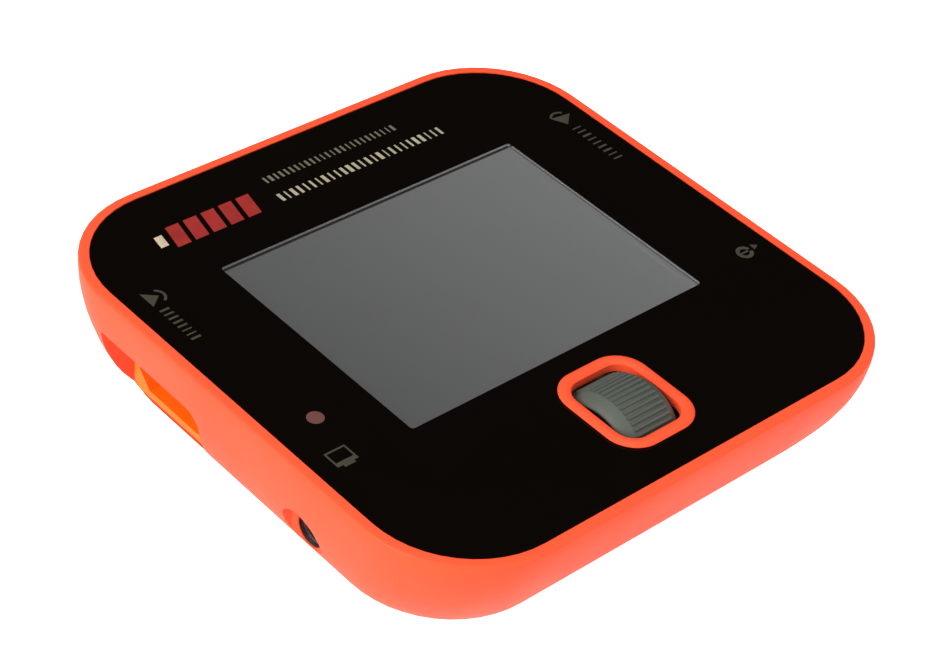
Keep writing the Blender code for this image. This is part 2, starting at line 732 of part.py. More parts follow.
def make_display():
    screen_x = WINDOW_WIDTH / 2 + SCREEN_BORDER
    low_y = WINDOW_CENTRE_Y - WINDOW_LENGTH / 2 - SCREEN_BORDER
    high_y = WINDOW_CENTRE_Y + WINDOW_LENGTH / 2 + SCREEN_DRIVER_LEDGE
    low = SCREEN_TOP - SCREEN_THICKNESS
    screen = box((-screen_x, low_y, low), (screen_x, high_y, SCREEN_TOP))
    piece("display_screen", screen, "screen")
    holder_x = screen_x + HOLDER_BORDER
    holder = box(
        (-holder_x, low_y - HOLDER_BORDER, HOLDER_BOTTOM),
        (holder_x, high_y + HOLDER_BORDER, HOLDER_TOP),
    )
    piece("display_holder", holder, "white_plastic")

    # The ribbon leaves the screen's far edge, turns down and lies flat above the control board.
    top_z = SCREEN_TOP - SCREEN_THICKNESS / 2
    bottom_z = CONTROL_BOARD_TOP + SEAT_GAP + RIBBON_THICKNESS / 2
    radius = (top_z - bottom_z) / 2
    start_y = high_y + HOLDER_BORDER + RIBBON_RUN
    path = [(high_y + SEAT_GAP, top_z)]
    for step in range(9):
        angle = math.radians(90 - 180 * step / 8)
        y = start_y + radius * math.cos(angle)
        path.append((y, top_z - radius + radius * math.sin(angle)))
    bm = bmesh.new()
    half = RIBBON_WIDTH / 2
    rings = []
    for i, (y, z) in enumerate(path):
        before = Vector(path[max(i - 1, 0)])
        after = Vector(path[min(i + 1, len(path) - 1)])
        along = (after - before).normalized()
        out = Vector((-along.y, along.x)) * RIBBON_THICKNESS / 2
        rings.append(
            [
                bm.verts.new((-half, y + out.x, z + out.y)),
                bm.verts.new((half, y + out.x, z + out.y)),
                bm.verts.new((half, y - out.x, z - out.y)),
                bm.verts.new((-half, y - out.x, z - out.y)),
            ]
        )
    skin(bm, rings)
    piece("display_ribbon", bm, "amber_film")


def make_status_light():
    led_top = CONTROL_BOARD_TOP + SEAT_GAP + LED_HEIGHT
    centre = (LIGHT_X, LIGHT_Y)
    pipe = rod(LIGHT_RADIUS, led_top + SEAT_GAP, PANEL_TOP, ROUND, centre=centre)
    piece("light_pipe", pipe, "light_pipe")
    half = LED_SIZE / 2
    led = box(
        (LIGHT_X - half, LIGHT_Y - half, CONTROL_BOARD_TOP + SEAT_GAP),
        (LIGHT_X + half, LIGHT_Y + half, led_top),
    )
    piece("status_led", led, "ivory_plastic")


def bezel_opening():
    """Half sizes of the hole in the wheel's bezel, which clears the wheel at its lower edge."""
    rise = PANEL_TOP - BEZEL_DEPTH - WHEEL_Z
    half_chord = math.sqrt(WHEEL_RADIUS**2 - rise**2)
    return WHEEL_WIDTH / 2 + BEZEL_CLEARANCE_X, half_chord + BEZEL_CLEARANCE_Y


def bezel_body_section(extra=0.0):
    """Half sizes and corner radius of the wheel's bezel where it passes through the panel."""
    half_x, half_y = bezel_opening()
    grow = BEZEL_WALL - BEZEL_STEP + extra
    return half_x + grow, half_y + grow, BEZEL_CORNER + grow


def make_wheel_bezel():
    """A rounded ring proud of the panel, with a thinner collar through the panel's hole."""
    inner_x, inner_y = bezel_opening()
    body_x, body_y, body_radius = bezel_body_section()
    flange_z = PANEL_TOP + SEAT_GAP
    top_z = FACE_HEIGHT + BEZEL_PROUD
    bottom_z = PANEL_TOP - BEZEL_DEPTH
    middle = BEZEL_WALL / 2
    bm = bmesh.new()
    crown_z = top_z - BEZEL_CROWN
    profile = [(0.0, bottom_z)]
    for step in range(5):
        angle = math.radians(180 - 45 * step)
        profile.append((middle + middle * math.cos(angle), crown_z + BEZEL_CROWN * math.sin(angle)))
    profile.append((BEZEL_WALL, flange_z))
    rings = []
    for grow, z in profile:
        outline = rounded_outline(inner_x + grow, inner_y + grow, BEZEL_CORNER + grow)
        rings.append(ring(bm, outline, z, (0, WHEEL_Y)))
    outline = rounded_outline(body_x, body_y, body_radius)
    rings.append(ring(bm, outline, flange_z, (0, WHEEL_Y)))
    rings.append(ring(bm, outline, bottom_z, (0, WHEEL_Y)))
    skin(bm, rings, capped=False)
    piece("wheel_bezel", bm, "orange_shell")


def wheel_ring(bm, x, radius, ribbed):
    """One ring of the wheel about the X axis. Ribbed rings alternate crest and groove."""
    count = WHEEL_RIBS * 2
    verts = []
    for i in range(count):
        angle = 2 * math.pi * i / count
        r = radius - (WHEEL_RIB_DEPTH if ribbed and i % 2 else 0.0)
        verts.append(bm.verts.new((x, r * math.cos(angle), r * math.sin(angle))))
    return verts


def make_wheel():
    """Tyre, hub and axle, all turning about the X axis through the wheel's middle."""
    centre = Vector((0, WHEEL_Y, WHEEL_Z))
    press = pivot("wheel_press_axis", centre)
    spin = pivot("wheel_spin_axis", centre)
    half = WHEEL_WIDTH / 2
    tread = WHEEL_TREAD / 2
    edge = WHEEL_RADIUS - WHEEL_SHOULDER
    bore = HUB_RADIUS + SEAT_GAP
    dish_x = half - WHEEL_DISH
    bm = bmesh.new()
    section = [
        (-dish_x, bore, False),
        (-dish_x, edge - WHEEL_EDGE_BAND, False),
        (-half, edge, False),
        (-tread, WHEEL_RADIUS, True),
        (tread, WHEEL_RADIUS, True),
        (half, edge, False),
        (dish_x, edge - WHEEL_EDGE_BAND, False),
        (dish_x, bore, False),
    ]
    skin(bm, [wheel_ring(bm, *row) for row in section], capped=False)
    bmesh.ops.translate(bm, vec=centre, verts=bm.verts)
    piece("scroll_wheel", bm, "wheel_rubber", centre, spin)

    hub_half = dish_x - HUB_SHORTER
    axis = (WHEEL_Y, WHEEL_Z)
    hub = tube(HUB_RADIUS, AXLE_RADIUS + SEAT_GAP, -hub_half, hub_half, ROUND, "X", axis)
    piece("wheel_hub", hub, "black_plastic", centre, spin)

    arm_inner = half + SLIDE_GAP * 2
    arm_outer = arm_inner + CRADLE_ARM
    encoder_end = arm_outer + SEAT_GAP + ENCODER_THICKNESS
    axle = rod(AXLE_RADIUS, -arm_outer, encoder_end - AXLE_END_GAP, CONTACT_STEPS, "X", axis)
    piece("wheel_axle", axle, "steel", centre, spin)

    make_cradle(centre, press, arm_inner, arm_outer)
    encoder = tube(
        ENCODER_RADIUS,
        AXLE_RADIUS + RUNNING_GAP,
        arm_outer + SEAT_GAP,
        encoder_end,
        ROUND,
        "X",
        axis,
    )
    piece("wheel_encoder", encoder, "black_plastic", centre, press)
    make_wheel_support(centre, press, encoder_end)


def cradle_floor_z():
    return WHEEL_Z - WHEEL_RADIUS - SLIDE_GAP


def switch_heights():
    """Top of the plunger at rest, and top and bottom of the push switch under it."""
    plunger_top = cradle_floor_z() - CRADLE_FLOOR - SEAT_GAP
    switch_top = plunger_top - PRESS_TRAVEL - SEAT_GAP
    return plunger_top, switch_top, switch_top - SWITCH_HEIGHT


def wheel_frame_bottom():
    """The wheel's frame stands on the power board, or reaches through it under a large wheel."""
    floor_top = switch_heights()[2] - SEAT_GAP
    return min(PART_SEAT, floor_top - WHEEL_FRAME_FLOOR)


def make_cradle(centre, press, arm_inner, arm_outer):
    """The fork that holds the axle and slides down when the wheel is pushed."""
    floor_top = cradle_floor_z()
    floor_bottom = floor_top - CRADLE_FLOOR
    front = WHEEL_Y - CRADLE_DEPTH / 2
    back = WHEEL_Y + CRADLE_DEPTH / 2
    top = WHEEL_Z + CRADLE_TOP
    outline = [
        (-arm_outer, floor_bottom),
        (arm_outer, floor_bottom),
        (arm_outer, top),
        (arm_inner, top),
        (arm_inner, floor_top),
        (-arm_inner, floor_top),
        (-arm_inner, top),
        (-arm_outer, top),
    ]
    bm = bmesh.new()
    near = [bm.verts.new((x, front, z)) for x, z in outline]
    far = [bm.verts.new((x, back, z)) for x, z in outline]
    skin(bm, [near, far])
    cradle = piece("wheel_cradle", bm, "black_plastic", centre, press)
    bore = rod(
        AXLE_RADIUS + RUNNING_GAP,
        -arm_outer - CUT_MARGIN,
        arm_outer + CUT_MARGIN,
        CONTACT_STEPS,
        "X",
        (WHEEL_Y, WHEEL_Z),
    )
    cut(cradle, helper("axle_bore", bore))


def make_wheel_support(centre, press, encoder_end):
    """The fixed frame under the cradle, with the push switch and its plunger."""
    plunger_top, switch_top, switch_bottom = switch_heights()
    floor_top = switch_bottom - SEAT_GAP
    bottom = wheel_frame_bottom()
    inner = encoder_end + SLIDE_GAP
    outer = inner + WHEEL_FRAME_WALL
    wall_y = case_section(bottom, WALL)[1]
    front = max(WHEEL_Y - WHEEL_FRAME_FRONT, SLIDE_GAP * 2 - wall_y)
    back = WHEEL_Y + WHEEL_FRAME_BACK
    if bottom < PART_SEAT:
        back = min(back, -SCREW_Y - SCREW_BOSS_RADIUS - SLIDE_GAP)
    outline = [
        (-outer, bottom),
        (outer, bottom),
        (outer, CONTROL_BOARD_BOTTOM - SEAT_GAP),
        (inner, CONTROL_BOARD_BOTTOM - SEAT_GAP),
        (inner, floor_top),
        (-inner, floor_top),
        (-inner, CONTROL_BOARD_BOTTOM - SEAT_GAP),
        (-outer, CONTROL_BOARD_BOTTOM - SEAT_GAP),
    ]
    bm = bmesh.new()
    near = [bm.verts.new((x, front, z)) for x, z in outline]
    far = [bm.verts.new((x, back, z)) for x, z in outline]
    skin(bm, [near, far])
    piece("wheel_frame", bm, "white_plastic")

    half = SWITCH_SIZE / 2
    seat = (0, WHEEL_Y + SWITCH_OFFSET)
    low = (-half, seat[1] - half, switch_bottom)
    high = (half, seat[1] + half, switch_top)
    switch = piece("press_switch", box(low, high), "black_plastic")
    plunger_bottom = switch_top - PLUNGER_IN_SWITCH
    hole_low = plunger_bottom - PRESS_TRAVEL - SEAT_GAP
    hole = rod(PLUNGER_RADIUS + RUNNING_GAP, hole_low, switch_top + CUT_MARGIN, centre=seat)
    cut(switch, helper("plunger_hole", hole))
    plunger = rod(PLUNGER_RADIUS, plunger_bottom, plunger_top, centre=seat)
    piece("switch_plunger", plunger, "ivory_plastic", centre, press)


def make_boards():
    half_x = min(CONNECTOR_FACE_X, BALANCE_FACE_X) - WELL_BACK - SEAT_GAP
    half_y = CASE_LENGTH / 2 - CONTROL_BOARD_MARGIN
    outline = rounded_outline(half_x, half_y, CONTROL_BOARD_CORNER, BOARD_CORNER_STEPS)
    control = piece(
        "control_board", prism(outline, CONTROL_BOARD_BOTTOM, CONTROL_BOARD_TOP), "board_green"
    )
    encoder_end = WHEEL_WIDTH / 2 + SLIDE_GAP * 2 + CRADLE_ARM + SEAT_GAP + ENCODER_THICKNESS
    notch = box(
        (-encoder_end - SLIDE_GAP * 2, -half_y - CUT_MARGIN, CONTROL_BOARD_BOTTOM - CUT_MARGIN),
        (
            encoder_end + SLIDE_GAP * 2,
            WHEEL_Y + WHEEL_RADIUS + SLIDE_GAP * 2,
            CONTROL_BOARD_TOP + CUT_MARGIN,
        ),
    )
    cut(control, helper("wheel_notch", notch))

    half_x, half_y, _ = case_section(POWER_BOARD_HEIGHT, WALL + POWER_BOARD_MARGIN)
    outline = rounded_outline(half_x, half_y, POWER_BOARD_CORNER, BOARD_CORNER_STEPS)
    power = piece(
        "power_board", prism(outline, POWER_BOARD_HEIGHT, POWER_BOARD_TOP), "board_green"
    )
    if wheel_frame_bottom() < PART_SEAT:
        reach = encoder_end + SLIDE_GAP * 2 + WHEEL_FRAME_WALL
        notch = box(
            (-reach, -half_y - CUT_MARGIN, POWER_BOARD_HEIGHT - CUT_MARGIN),
            (reach, WHEEL_Y + WHEEL_FRAME_BACK + SLIDE_GAP, POWER_BOARD_TOP + CUT_MARGIN),
        )
        cut(power, helper("frame_notch", notch))

    for i, (x, y) in enumerate(corners(*BOARD_POST)):
        spacer = rod(
            BOARD_POST_RADIUS, PART_SEAT, CONTROL_BOARD_BOTTOM - SEAT_GAP, 6, centre=(x, y)
        )
        piece(f"board_spacer_{i + 1}", spacer, "steel")

    half_x = HEADER_SIZE[0] / 2
    half_y = HEADER_SIZE[1] / 2
    header_x, header_y = HEADER_PLACE
    header = box(
        (header_x - half_x, header_y - half_y, PART_SEAT),
        (header_x + half_x, header_y + half_y, CONTROL_BOARD_BOTTOM - SEAT_GAP),
    )
    piece("board_header", header, "black_plastic")


def connector_outline(grow, chamfer):
    """A power connector's outline in Y and Z, whose two corners at the far end are cut off."""
    half_y = CONNECTOR_WIDTH / 2 + grow
    half_z = CONNECTOR_HEIGHT / 2 + grow
    return [
        (-half_y, -half_z),
        (half_y - chamfer, -half_z),
        (half_y, -half_z + chamfer),
        (half_y, half_z - chamfer),
        (half_y - chamfer, half_z),
        (-half_y, half_z),
    ]


def keyed_prism(x_low, x_high, centre_y, outline):
    bm = bmesh.new()
    rings = []
    for x in (x_low, x_high):
        rings.append([bm.verts.new((x, y + centre_y, z + CONNECTOR_Z)) for y, z in outline])
    skin(bm, rings)
    return bm


def make_input_connector():
    back = -CONNECTOR_FACE_X + CONNECTOR_DEPTH
    outline = connector_outline(0, CONNECTOR_CHAMFER)
    shell_mesh = keyed_prism(-CONNECTOR_FACE_X, back, INPUT_Y, outline)
    shell = piece("input_connector", shell_mesh, "amber_plastic")
    cavity = connector_outline(-CONNECTOR_WALL, CONNECTOR_KEY)
    hollow = keyed_prism(
        -CONNECTOR_FACE_X - CUT_MARGIN, back - CONNECTOR_BACK, INPUT_Y, cavity
    )
    cut(shell, helper("input_hollow", hollow))
    for i, side in enumerate((-1, 1)):
        centre = (INPUT_Y + side * PIN_SPACING / 2, CONNECTOR_Z)
        hole = rod(
            PIN_RADIUS + RUNNING_GAP,
            back - CONNECTOR_BACK - CUT_MARGIN,
            back + CUT_MARGIN,
            axis="X",
            centre=centre,
        )
        cut(shell, helper(f"input_pin_hole_{i + 1}", hole))
        front = -CONNECTOR_FACE_X + PIN_RECESS
        profile = [
            (0, front),
            (PIN_RADIUS * 0.6, front),
            (PIN_RADIUS, front + PIN_TIP),
            (PIN_RADIUS, back + PIN_TAIL),
            (0, back + PIN_TAIL),
        ]
        pin = lathe(profile, SMALL_ROUND, "X", (0, *centre))
        piece(f"input_pin_{i + 1}", pin, "gold")


def make_output_connector():
    back = CONNECTOR_FACE_X - CONNECTOR_DEPTH
    outline = connector_outline(0, CONNECTOR_CHAMFER)
    block_mesh = keyed_prism(back, CONNECTOR_FACE_X, OUTPUT_Y, outline)
    block = piece("output_connector", block_mesh, "amber_plastic")
    contact_outer = PIN_RADIUS + CONTACT_WALL + RUNNING_GAP
    for i, side in enumerate((-1, 1)):
        centre = (OUTPUT_Y + side * PIN_SPACING / 2, CONNECTOR_Z)
        hole = rod(
            contact_outer + RUNNING_GAP,
            back - CUT_MARGIN,
            CONNECTOR_FACE_X + CUT_MARGIN,
            CONTACT_STEPS,
            "X",
            centre,
        )
        cut(block, helper(f"output_hole_{i + 1}", hole))
        front = CONNECTOR_FACE_X - PIN_RECESS / 2
        bore = PIN_RADIUS + RUNNING_GAP
        floor = back + CONNECTOR_BACK
        profile = [
            (0, back - CONTACT_TAIL),
            (contact_outer, back - CONTACT_TAIL),
            (contact_outer, front),
            (bore, front),
            (bore, floor),
            (0, floor),
        ]
        contact = lathe(profile, CONTACT_STEPS, "X", (0, *centre))
        piece(f"output_contact_{i + 1}", contact, "gold")


def make_balance_socket():
    half_y = BALANCE_WIDTH / 2
    half_z = BALANCE_HEIGHT / 2
    back = BALANCE_FACE_X - BALANCE_DEPTH
    low = (back, BALANCE_Y - half_y, BALANCE_Z - half_z)
    high = (BALANCE_FACE_X, BALANCE_Y + half_y, BALANCE_Z + half_z)
    socket = piece("balance_socket", box(low, high), "ivory_plastic")
    hollow = box(
        (
            back + BALANCE_WALL * 2,
            BALANCE_Y - half_y + BALANCE_WALL,
            BALANCE_Z - half_z + BALANCE_WALL,
        ),
        (
            BALANCE_FACE_X + CUT_MARGIN,
            BALANCE_Y + half_y - BALANCE_WALL,
            BALANCE_Z + half_z - BALANCE_WALL,
        ),
    )
    cut(socket, helper("balance_hollow", hollow))
    key_slots = bmesh.new()
    slot_bottom = BALANCE_Z + half_z - BALANCE_WALL * 1.5
    for side in (-1, 1):
        y = BALANCE_Y + side * (half_y - KEY_SLOT_TO_END)
        add_box(
            key_slots,
            (BALANCE_FACE_X - KEY_SLOT_LENGTH, y - KEY_SLOT_HALF, slot_bottom),
            (BALANCE_FACE_X + CUT_MARGIN, y + KEY_SLOT_HALF, BALANCE_Z + half_z + CUT_MARGIN),
        )
    cut(socket, helper("balance_key_slots", key_slots))

    # The terminals are one comb: pins through the socket's back, joined by a bar behind it.
    half = TERMINAL_SIZE / 2
    span = TERMINAL_PITCH * (TERMINALS - 1)
    bar_front = back - SEAT_GAP
    comb_mesh = box(
        (bar_front - TERMINAL_BAR, BALANCE_Y - span / 2 - half * 2, BALANCE_Z - half * 2),
        (bar_front, BALANCE_Y + span / 2 + half * 2, BALANCE_Z + half * 2),
    )
    comb = piece("balance_terminals", comb_mesh, "gold")
    pins = bmesh.new()
    holes = bmesh.new()
    gap = RUNNING_GAP * 2
    for i in range(TERMINALS):
        y = BALANCE_Y - span / 2 + i * TERMINAL_PITCH
        add_box(
            pins,
            (bar_front - TERMINAL_BAR / 2, y - half, BALANCE_Z - half),
            (BALANCE_FACE_X - TERMINAL_RECESS, y + half, BALANCE_Z + half),
        )
        add_box(
            holes,
            (back - CUT_MARGIN, y - half - gap, BALANCE_Z - half - gap),
            (back + BALANCE_WALL * 2 + CUT_MARGIN, y + half + gap, BALANCE_Z + half + gap),
        )
    boolean(comb, helper("balance_pin_row", pins), "UNION")
    cut(socket, helper("balance_pin_holes", holes))


def make_data_jack():
    half = JACK_BODY / 2
    back = JACK_FACE_X + JACK_DEPTH
    low = (JACK_FACE_X, JACK_Y - half, JACK_Z - half)
    high = (back, JACK_Y + half, JACK_Z + half)
    body = piece("data_jack", box(low, high), "black_plastic")
    sleeve_radius = JACK_RADIUS + CONTACT_WALL
    bore = rod(
        sleeve_radius + RUNNING_GAP,
        JACK_FACE_X - CUT_MARGIN,
        back - JACK_BACK,
        MEDIUM_ROUND,
        "X",
        (JACK_Y, JACK_Z),
    )
    cut(body, helper("jack_bore", bore))
    sleeve = tube(
        sleeve_radius,
        JACK_RADIUS,
        JACK_FACE_X + JACK_SLEEVE_INSET,
        back - JACK_BACK - SEAT_GAP,
        MEDIUM_ROUND,
        "X",
        (JACK_Y, JACK_Z),
    )
    piece("jack_sleeve", sleeve, "steel")


def make_power_parts():
    for i, place in enumerate(INDUCTOR_PLACES):
        top = PART_SEAT + INDUCTOR_HEIGHT
        coil = rod(INDUCTOR_RADIUS, PART_SEAT, top, MEDIUM_ROUND, centre=place)
        piece(f"inductor_{i + 1}", coil, "copper")
    for i, place in enumerate(CAPACITOR_PLACES):
        top = PART_SEAT + CAPACITOR_HEIGHT
        can = rod(CAPACITOR_RADIUS, PART_SEAT, top, MEDIUM_ROUND, centre=place)
        piece(f"capacitor_{i + 1}", can, "capacitor_sleeve")
    length, depth, height = HEATSINK_SIZE
    top = PART_SEAT + height
    low = (-length / 2, HEATSINK_Y - depth / 2, PART_SEAT)
    high = (length / 2, HEATSINK_Y + depth / 2, top)
    sink = piece("heatsink", box(low, high), "aluminium")
    slots = bmesh.new()
    pitch = length / HEATSINK_FINS
    for i in range(1, HEATSINK_FINS):
        x = -length / 2 + i * pitch
        add_box(
            slots,
            (x - pitch * 0.3, HEATSINK_Y - depth, PART_SEAT + HEATSINK_FOOT),
            (x + pitch * 0.3, HEATSINK_Y + depth, top + CUT_MARGIN),
        )
    cut(sink, helper("heatsink_slots", slots))
    buzzer = tube(
        BUZZER_RADIUS,
        BUZZER_HOLE_RADIUS,
        PART_SEAT,
        PART_SEAT + BUZZER_HEIGHT,
        MEDIUM_ROUND,
        centre=BUZZER_PLACE,
    )
    piece("buzzer", buzzer, "black_plastic")


def make_fan():
    half = FAN_SIZE / 2
    frame_mesh = prism(rounded_outline(half, half, FAN_CORNER, steps=3), FAN_BOTTOM, FAN_TOP)
    frame = piece("fan_frame", frame_mesh, "black_plastic")
    spider_bottom = FAN_TOP - FAN_SPIDER
    bore = rod(FAN_BORE_RADIUS, FAN_BOTTOM - CUT_MARGIN, FAN_TOP + CUT_MARGIN, 40)
    cut(frame, helper("fan_bore", bore))
    spider = rod(FAN_HUB_RADIUS, spider_bottom, FAN_TOP, ROUND)
    spider_object = helper("fan_spider", spider)
    for i in range(3):
        arm_end = (FAN_BORE_RADIUS + FAN_SIZE / 2) / 2
        arm = box((0.0, -FAN_ARM_HALF, spider_bottom), (arm_end, FAN_ARM_HALF, FAN_TOP))
        turn = Matrix.Rotation(2 * math.pi * i / 3, 4, "Z")
        bmesh.ops.transform(arm, matrix=turn, verts=arm.verts)
        boolean(spider_object, helper(f"fan_arm_{i + 1}", arm), "UNION")
    boolean(frame, spider_object, "UNION")
    bearing = rod(FAN_SHAFT_RADIUS + RUNNING_GAP, spider_bottom - CUT_MARGIN, FAN_TOP + CUT_MARGIN)
    cut(frame, helper("fan_bearing", bearing))
    spacing = FAN_SCREW_SPACING / 2
    for i, (x, y) in enumerate(corners(spacing, spacing)):
        hole = rod(
            FAN_SCREW_RADIUS + RUNNING_GAP * 2,
            FAN_BOTTOM - CUT_MARGIN,
            FAN_TOP + CUT_MARGIN,
            centre=(x, y),
        )
        cut(frame, helper(f"fan_frame_hole_{i + 1}", hole))

    rotor_axis = pivot("fan_spin_axis", (0, 0, FAN_BOTTOM))
    rotor_bottom = FAN_BOTTOM + FAN_END_GAP
    rotor_top = spider_bottom - FAN_END_GAP
    cup_floor = rotor_bottom + FAN_CUP_WALL
    origin = (0, 0, FAN_BOTTOM)
    cup = lathe(
        [
            (0, rotor_bottom),
            (FAN_HUB_RADIUS - FAN_CUP_CHAMFER, rotor_bottom),
            (FAN_HUB_RADIUS, rotor_bottom + FAN_CUP_CHAMFER),
            (FAN_HUB_RADIUS, rotor_top),
            (FAN_SHAFT_RADIUS + SEAT_GAP, rotor_top),
            (FAN_SHAFT_RADIUS + SEAT_GAP, cup_floor),
            (0, cup_floor),
        ],
        ROUND,
    )
    rotor = piece("fan_rotor", cup, "black_plastic", origin, rotor_axis)
    blades = bmesh.new()
    blade_low = rotor_bottom + FAN_CUP_CHAMFER
    for i in range(FAN_BLADES):
        add_blade(blades, 2 * math.pi * i / FAN_BLADES, blade_low, rotor_top - FAN_END_GAP)
    boolean(rotor, helper("fan_blades", blades), "UNION")
    shaft = rod(FAN_SHAFT_RADIUS, cup_floor + SEAT_GAP, FAN_TOP - SEAT_GAP)
    piece("fan_shaft", shaft, "steel", origin, rotor_axis)


def add_blade(bm, angle, low, high):
    """A thin blade from the hub to near the bore, twisted as it climbs."""
    half = FAN_BLADE_THICKNESS / 2
    rings = []
    for radius in (FAN_HUB_RADIUS - FAN_CUP_CHAMFER, FAN_BORE_RADIUS - FAN_TIP_GAP):
        points = []
        for z, lean, side in ((low, -1, -1), (low, -1, 1), (high, 1, 1), (high, 1, -1)):
            a = angle + lean * FAN_BLADE_SWEEP / 2 + side * half / radius
            points.append(bm.verts.new((radius * math.cos(a), radius * math.sin(a), z)))
        rings.append(points)
    skin(bm, rings)


def make_base():
    bm = bmesh.new()
    rings = []
    half_x, half_y, radius = case_section(FOOT_HEIGHT)
    outline = rounded_outline(half_x - BASE_EDGE, half_y - BASE_EDGE, radius - BASE_EDGE)
    rings.append(ring(bm, outline, FOOT_HEIGHT))
    for z in steps_between(FOOT_HEIGHT + BASE_EDGE, BASE_TOP, 3):
        rings.append(case_ring(bm, z))
    for z in steps_between(BASE_TOP, FLOOR_TOP, 2):
        rings.append(case_ring(bm, z, BASE_WALL))
    skin(bm, rings)
    base = piece("base_cover", bm, "black_plastic")

    # Bosses are joined to the floor before the screw holes are cut through them.
    for i, (x, y) in enumerate(corners(SCREW_X, SCREW_Y)):
        boss = rod(SCREW_BOSS_RADIUS, FLOOR_TOP - BASE_FLOOR / 3, BASE_TOP, centre=(x, y))
        boolean(base, helper(f"base_boss_{i + 1}", boss), "UNION")
    cut(base, helper("grille_slots", grille_slots()))
    cut(base, helper("side_vents", side_vents()))
    for i, (x, y) in enumerate(corners(SCREW_X, SCREW_Y)):
        cut(base, helper(f"base_screw_hole_{i + 1}", screw_cut(x, y, SCREW_RADIUS, BASE_TOP)))
    spacing = FAN_SCREW_SPACING / 2
    for i, (x, y) in enumerate(corners(spacing, spacing)):
        cut(base, helper(f"fan_screw_hole_{i + 1}", screw_cut(x, y, FAN_SCREW_RADIUS, FLOOR_TOP)))


def screw_cut(x, y, radius, top):
    """A hole with a counterbore, from below."""
    head = SCREW_HEAD_RADIUS + RUNNING_GAP * 2
    head_top = FOOT_HEIGHT + SCREW_HEAD_HEIGHT + SCREW_SINK
    shank = radius + RUNNING_GAP * 2
    profile = [
        (0, FOOT_HEIGHT - CUT_MARGIN),
        (head, FOOT_HEIGHT - CUT_MARGIN),
        (head, head_top),
        (shank, head_top),
        (shank, top + CUT_MARGIN),
        (0, top + CUT_MARGIN),
    ]
    return lathe(profile, SMALL_ROUND, "Z", (x, y, 0))


def grille_slots():
    """Parallel slots whose ends follow a circle, with a bar left across their middle."""
    bm = bmesh.new()
    rows = int(GRILLE_RADIUS / GRILLE_PITCH)
    bar = GRILLE_SLOT * 0.6
    for row in range(-rows, rows + 1):
        y = row * GRILLE_PITCH
        reach = math.sqrt(GRILLE_RADIUS**2 - y * y)
        if reach < GRILLE_SLOT * 2:
            continue
        for side in (-1, 1):
            xs = sorted((side * bar, side * reach))
            add_box(
                bm,
                (xs[0], y - GRILLE_SLOT / 2, FOOT_HEIGHT - CUT_MARGIN),
                (xs[1], y + GRILLE_SLOT / 2, FLOOR_TOP + CUT_MARGIN),
            )
    return bm


def side_vents():
    """A row of upright slots through the left wall and the right wall of the base."""
    bm = bmesh.new()
    middle = (FLOOR_TOP + BASE_TOP) / 2
    reach = case_section(BASE_TOP)[0] + CUT_MARGIN
    inner = case_section(FLOOR_TOP, BASE_WALL)[0] - CUT_MARGIN
    for i in range(VENTS):
        y = (i - (VENTS - 1) / 2) * VENT_PITCH
        for side in (-1, 1):
            xs = sorted((side * inner, side * reach))
            add_box(
                bm,
                (xs[0], y - VENT_WIDTH / 2, middle - VENT_HEIGHT / 2),
                (xs[1], y + VENT_WIDTH / 2, middle + VENT_HEIGHT / 2),
            )
    return bm


def make_screw(name, x, y, radius, tip):
    """A pan-head screw with a cross recess, head down."""
    head_low = FOOT_HEIGHT + SEAT_GAP / 2
    head_high = head_low + SCREW_HEAD_HEIGHT
    profile = [
        (0, head_low),
        (SCREW_HEAD_RADIUS - SCREW_CHAMFER, head_low),
        (SCREW_HEAD_RADIUS, head_low + SCREW_CHAMFER),
        (SCREW_HEAD_RADIUS, head_high),
        (radius, head_high),
        (radius, tip - SCREW_POINT),
        (radius * 0.5, tip),
        (0, tip),
    ]
    screw = piece(name, lathe(profile, SMALL_ROUND, "Z", (x, y, 0)), "steel", (x, y, head_low))
    arm = SCREW_HEAD_RADIUS * 0.6
    low = head_low - CUT_MARGIN
    top = head_low + CROSS_DEPTH
    across = box((x - arm, y - CROSS_HALF, low), (x + arm, y + CROSS_HALF, top))
    along = box((x - CROSS_HALF, y - arm, low), (x + CROSS_HALF, y + arm, top + RUNNING_GAP / 2))
    cut(screw, helper(f"{name}_recess_a", across))
    cut(screw, helper(f"{name}_recess_b", along))


def make_screws_and_feet():
    for i, (x, y) in enumerate(corners(SCREW_X, SCREW_Y)):
        make_screw(f"case_screw_{i + 1}", x, y, SCREW_RADIUS, SCREW_TIP_HEIGHT)
    spacing = FAN_SCREW_SPACING / 2
    for i, (x, y) in enumerate(corners(spacing, spacing)):
        make_screw(f"fan_screw_{i + 1}", x, y, FAN_SCREW_RADIUS, FAN_TOP - FAN_SPIDER)
    top = FOOT_HEIGHT - SEAT_GAP
    for i, (x, y) in enumerate(corners(FOOT_X, FOOT_Y)):
        profile = [
            (0, 0),
            (FOOT_RADIUS - FOOT_CHAMFER, 0),
            (FOOT_RADIUS, FOOT_CHAMFER),
            (FOOT_RADIUS, top),
            (0, top),
        ]
        foot = lathe(profile, MEDIUM_ROUND, "Z", (x, y, 0))
        piece(f"foot_{i + 1}", foot, "foot_rubber", (x, y, 0))


def main():
    clear_scene()
    make_housing()
    make_front_panel()
    make_display()
    make_status_light()
    make_wheel_bezel()
    make_wheel()
    make_boards()
    make_input_connector()
    make_output_connector()
    make_balance_socket()
    make_data_jack()
    make_power_parts()
    make_fan()
    make_base()
    make_screws_and_feet()


main()
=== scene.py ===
"""Finishes for the balance battery charger: the moulded case, the gloss front with its printed
marks and display, the ribbed scroll wheel, the connectors, the screws and feet, and a plain pale
stage.

Metres, in the CAD frame: +X is the output side, -Y the edge with the wheel, +Z out of the display.
"""

import json
import math

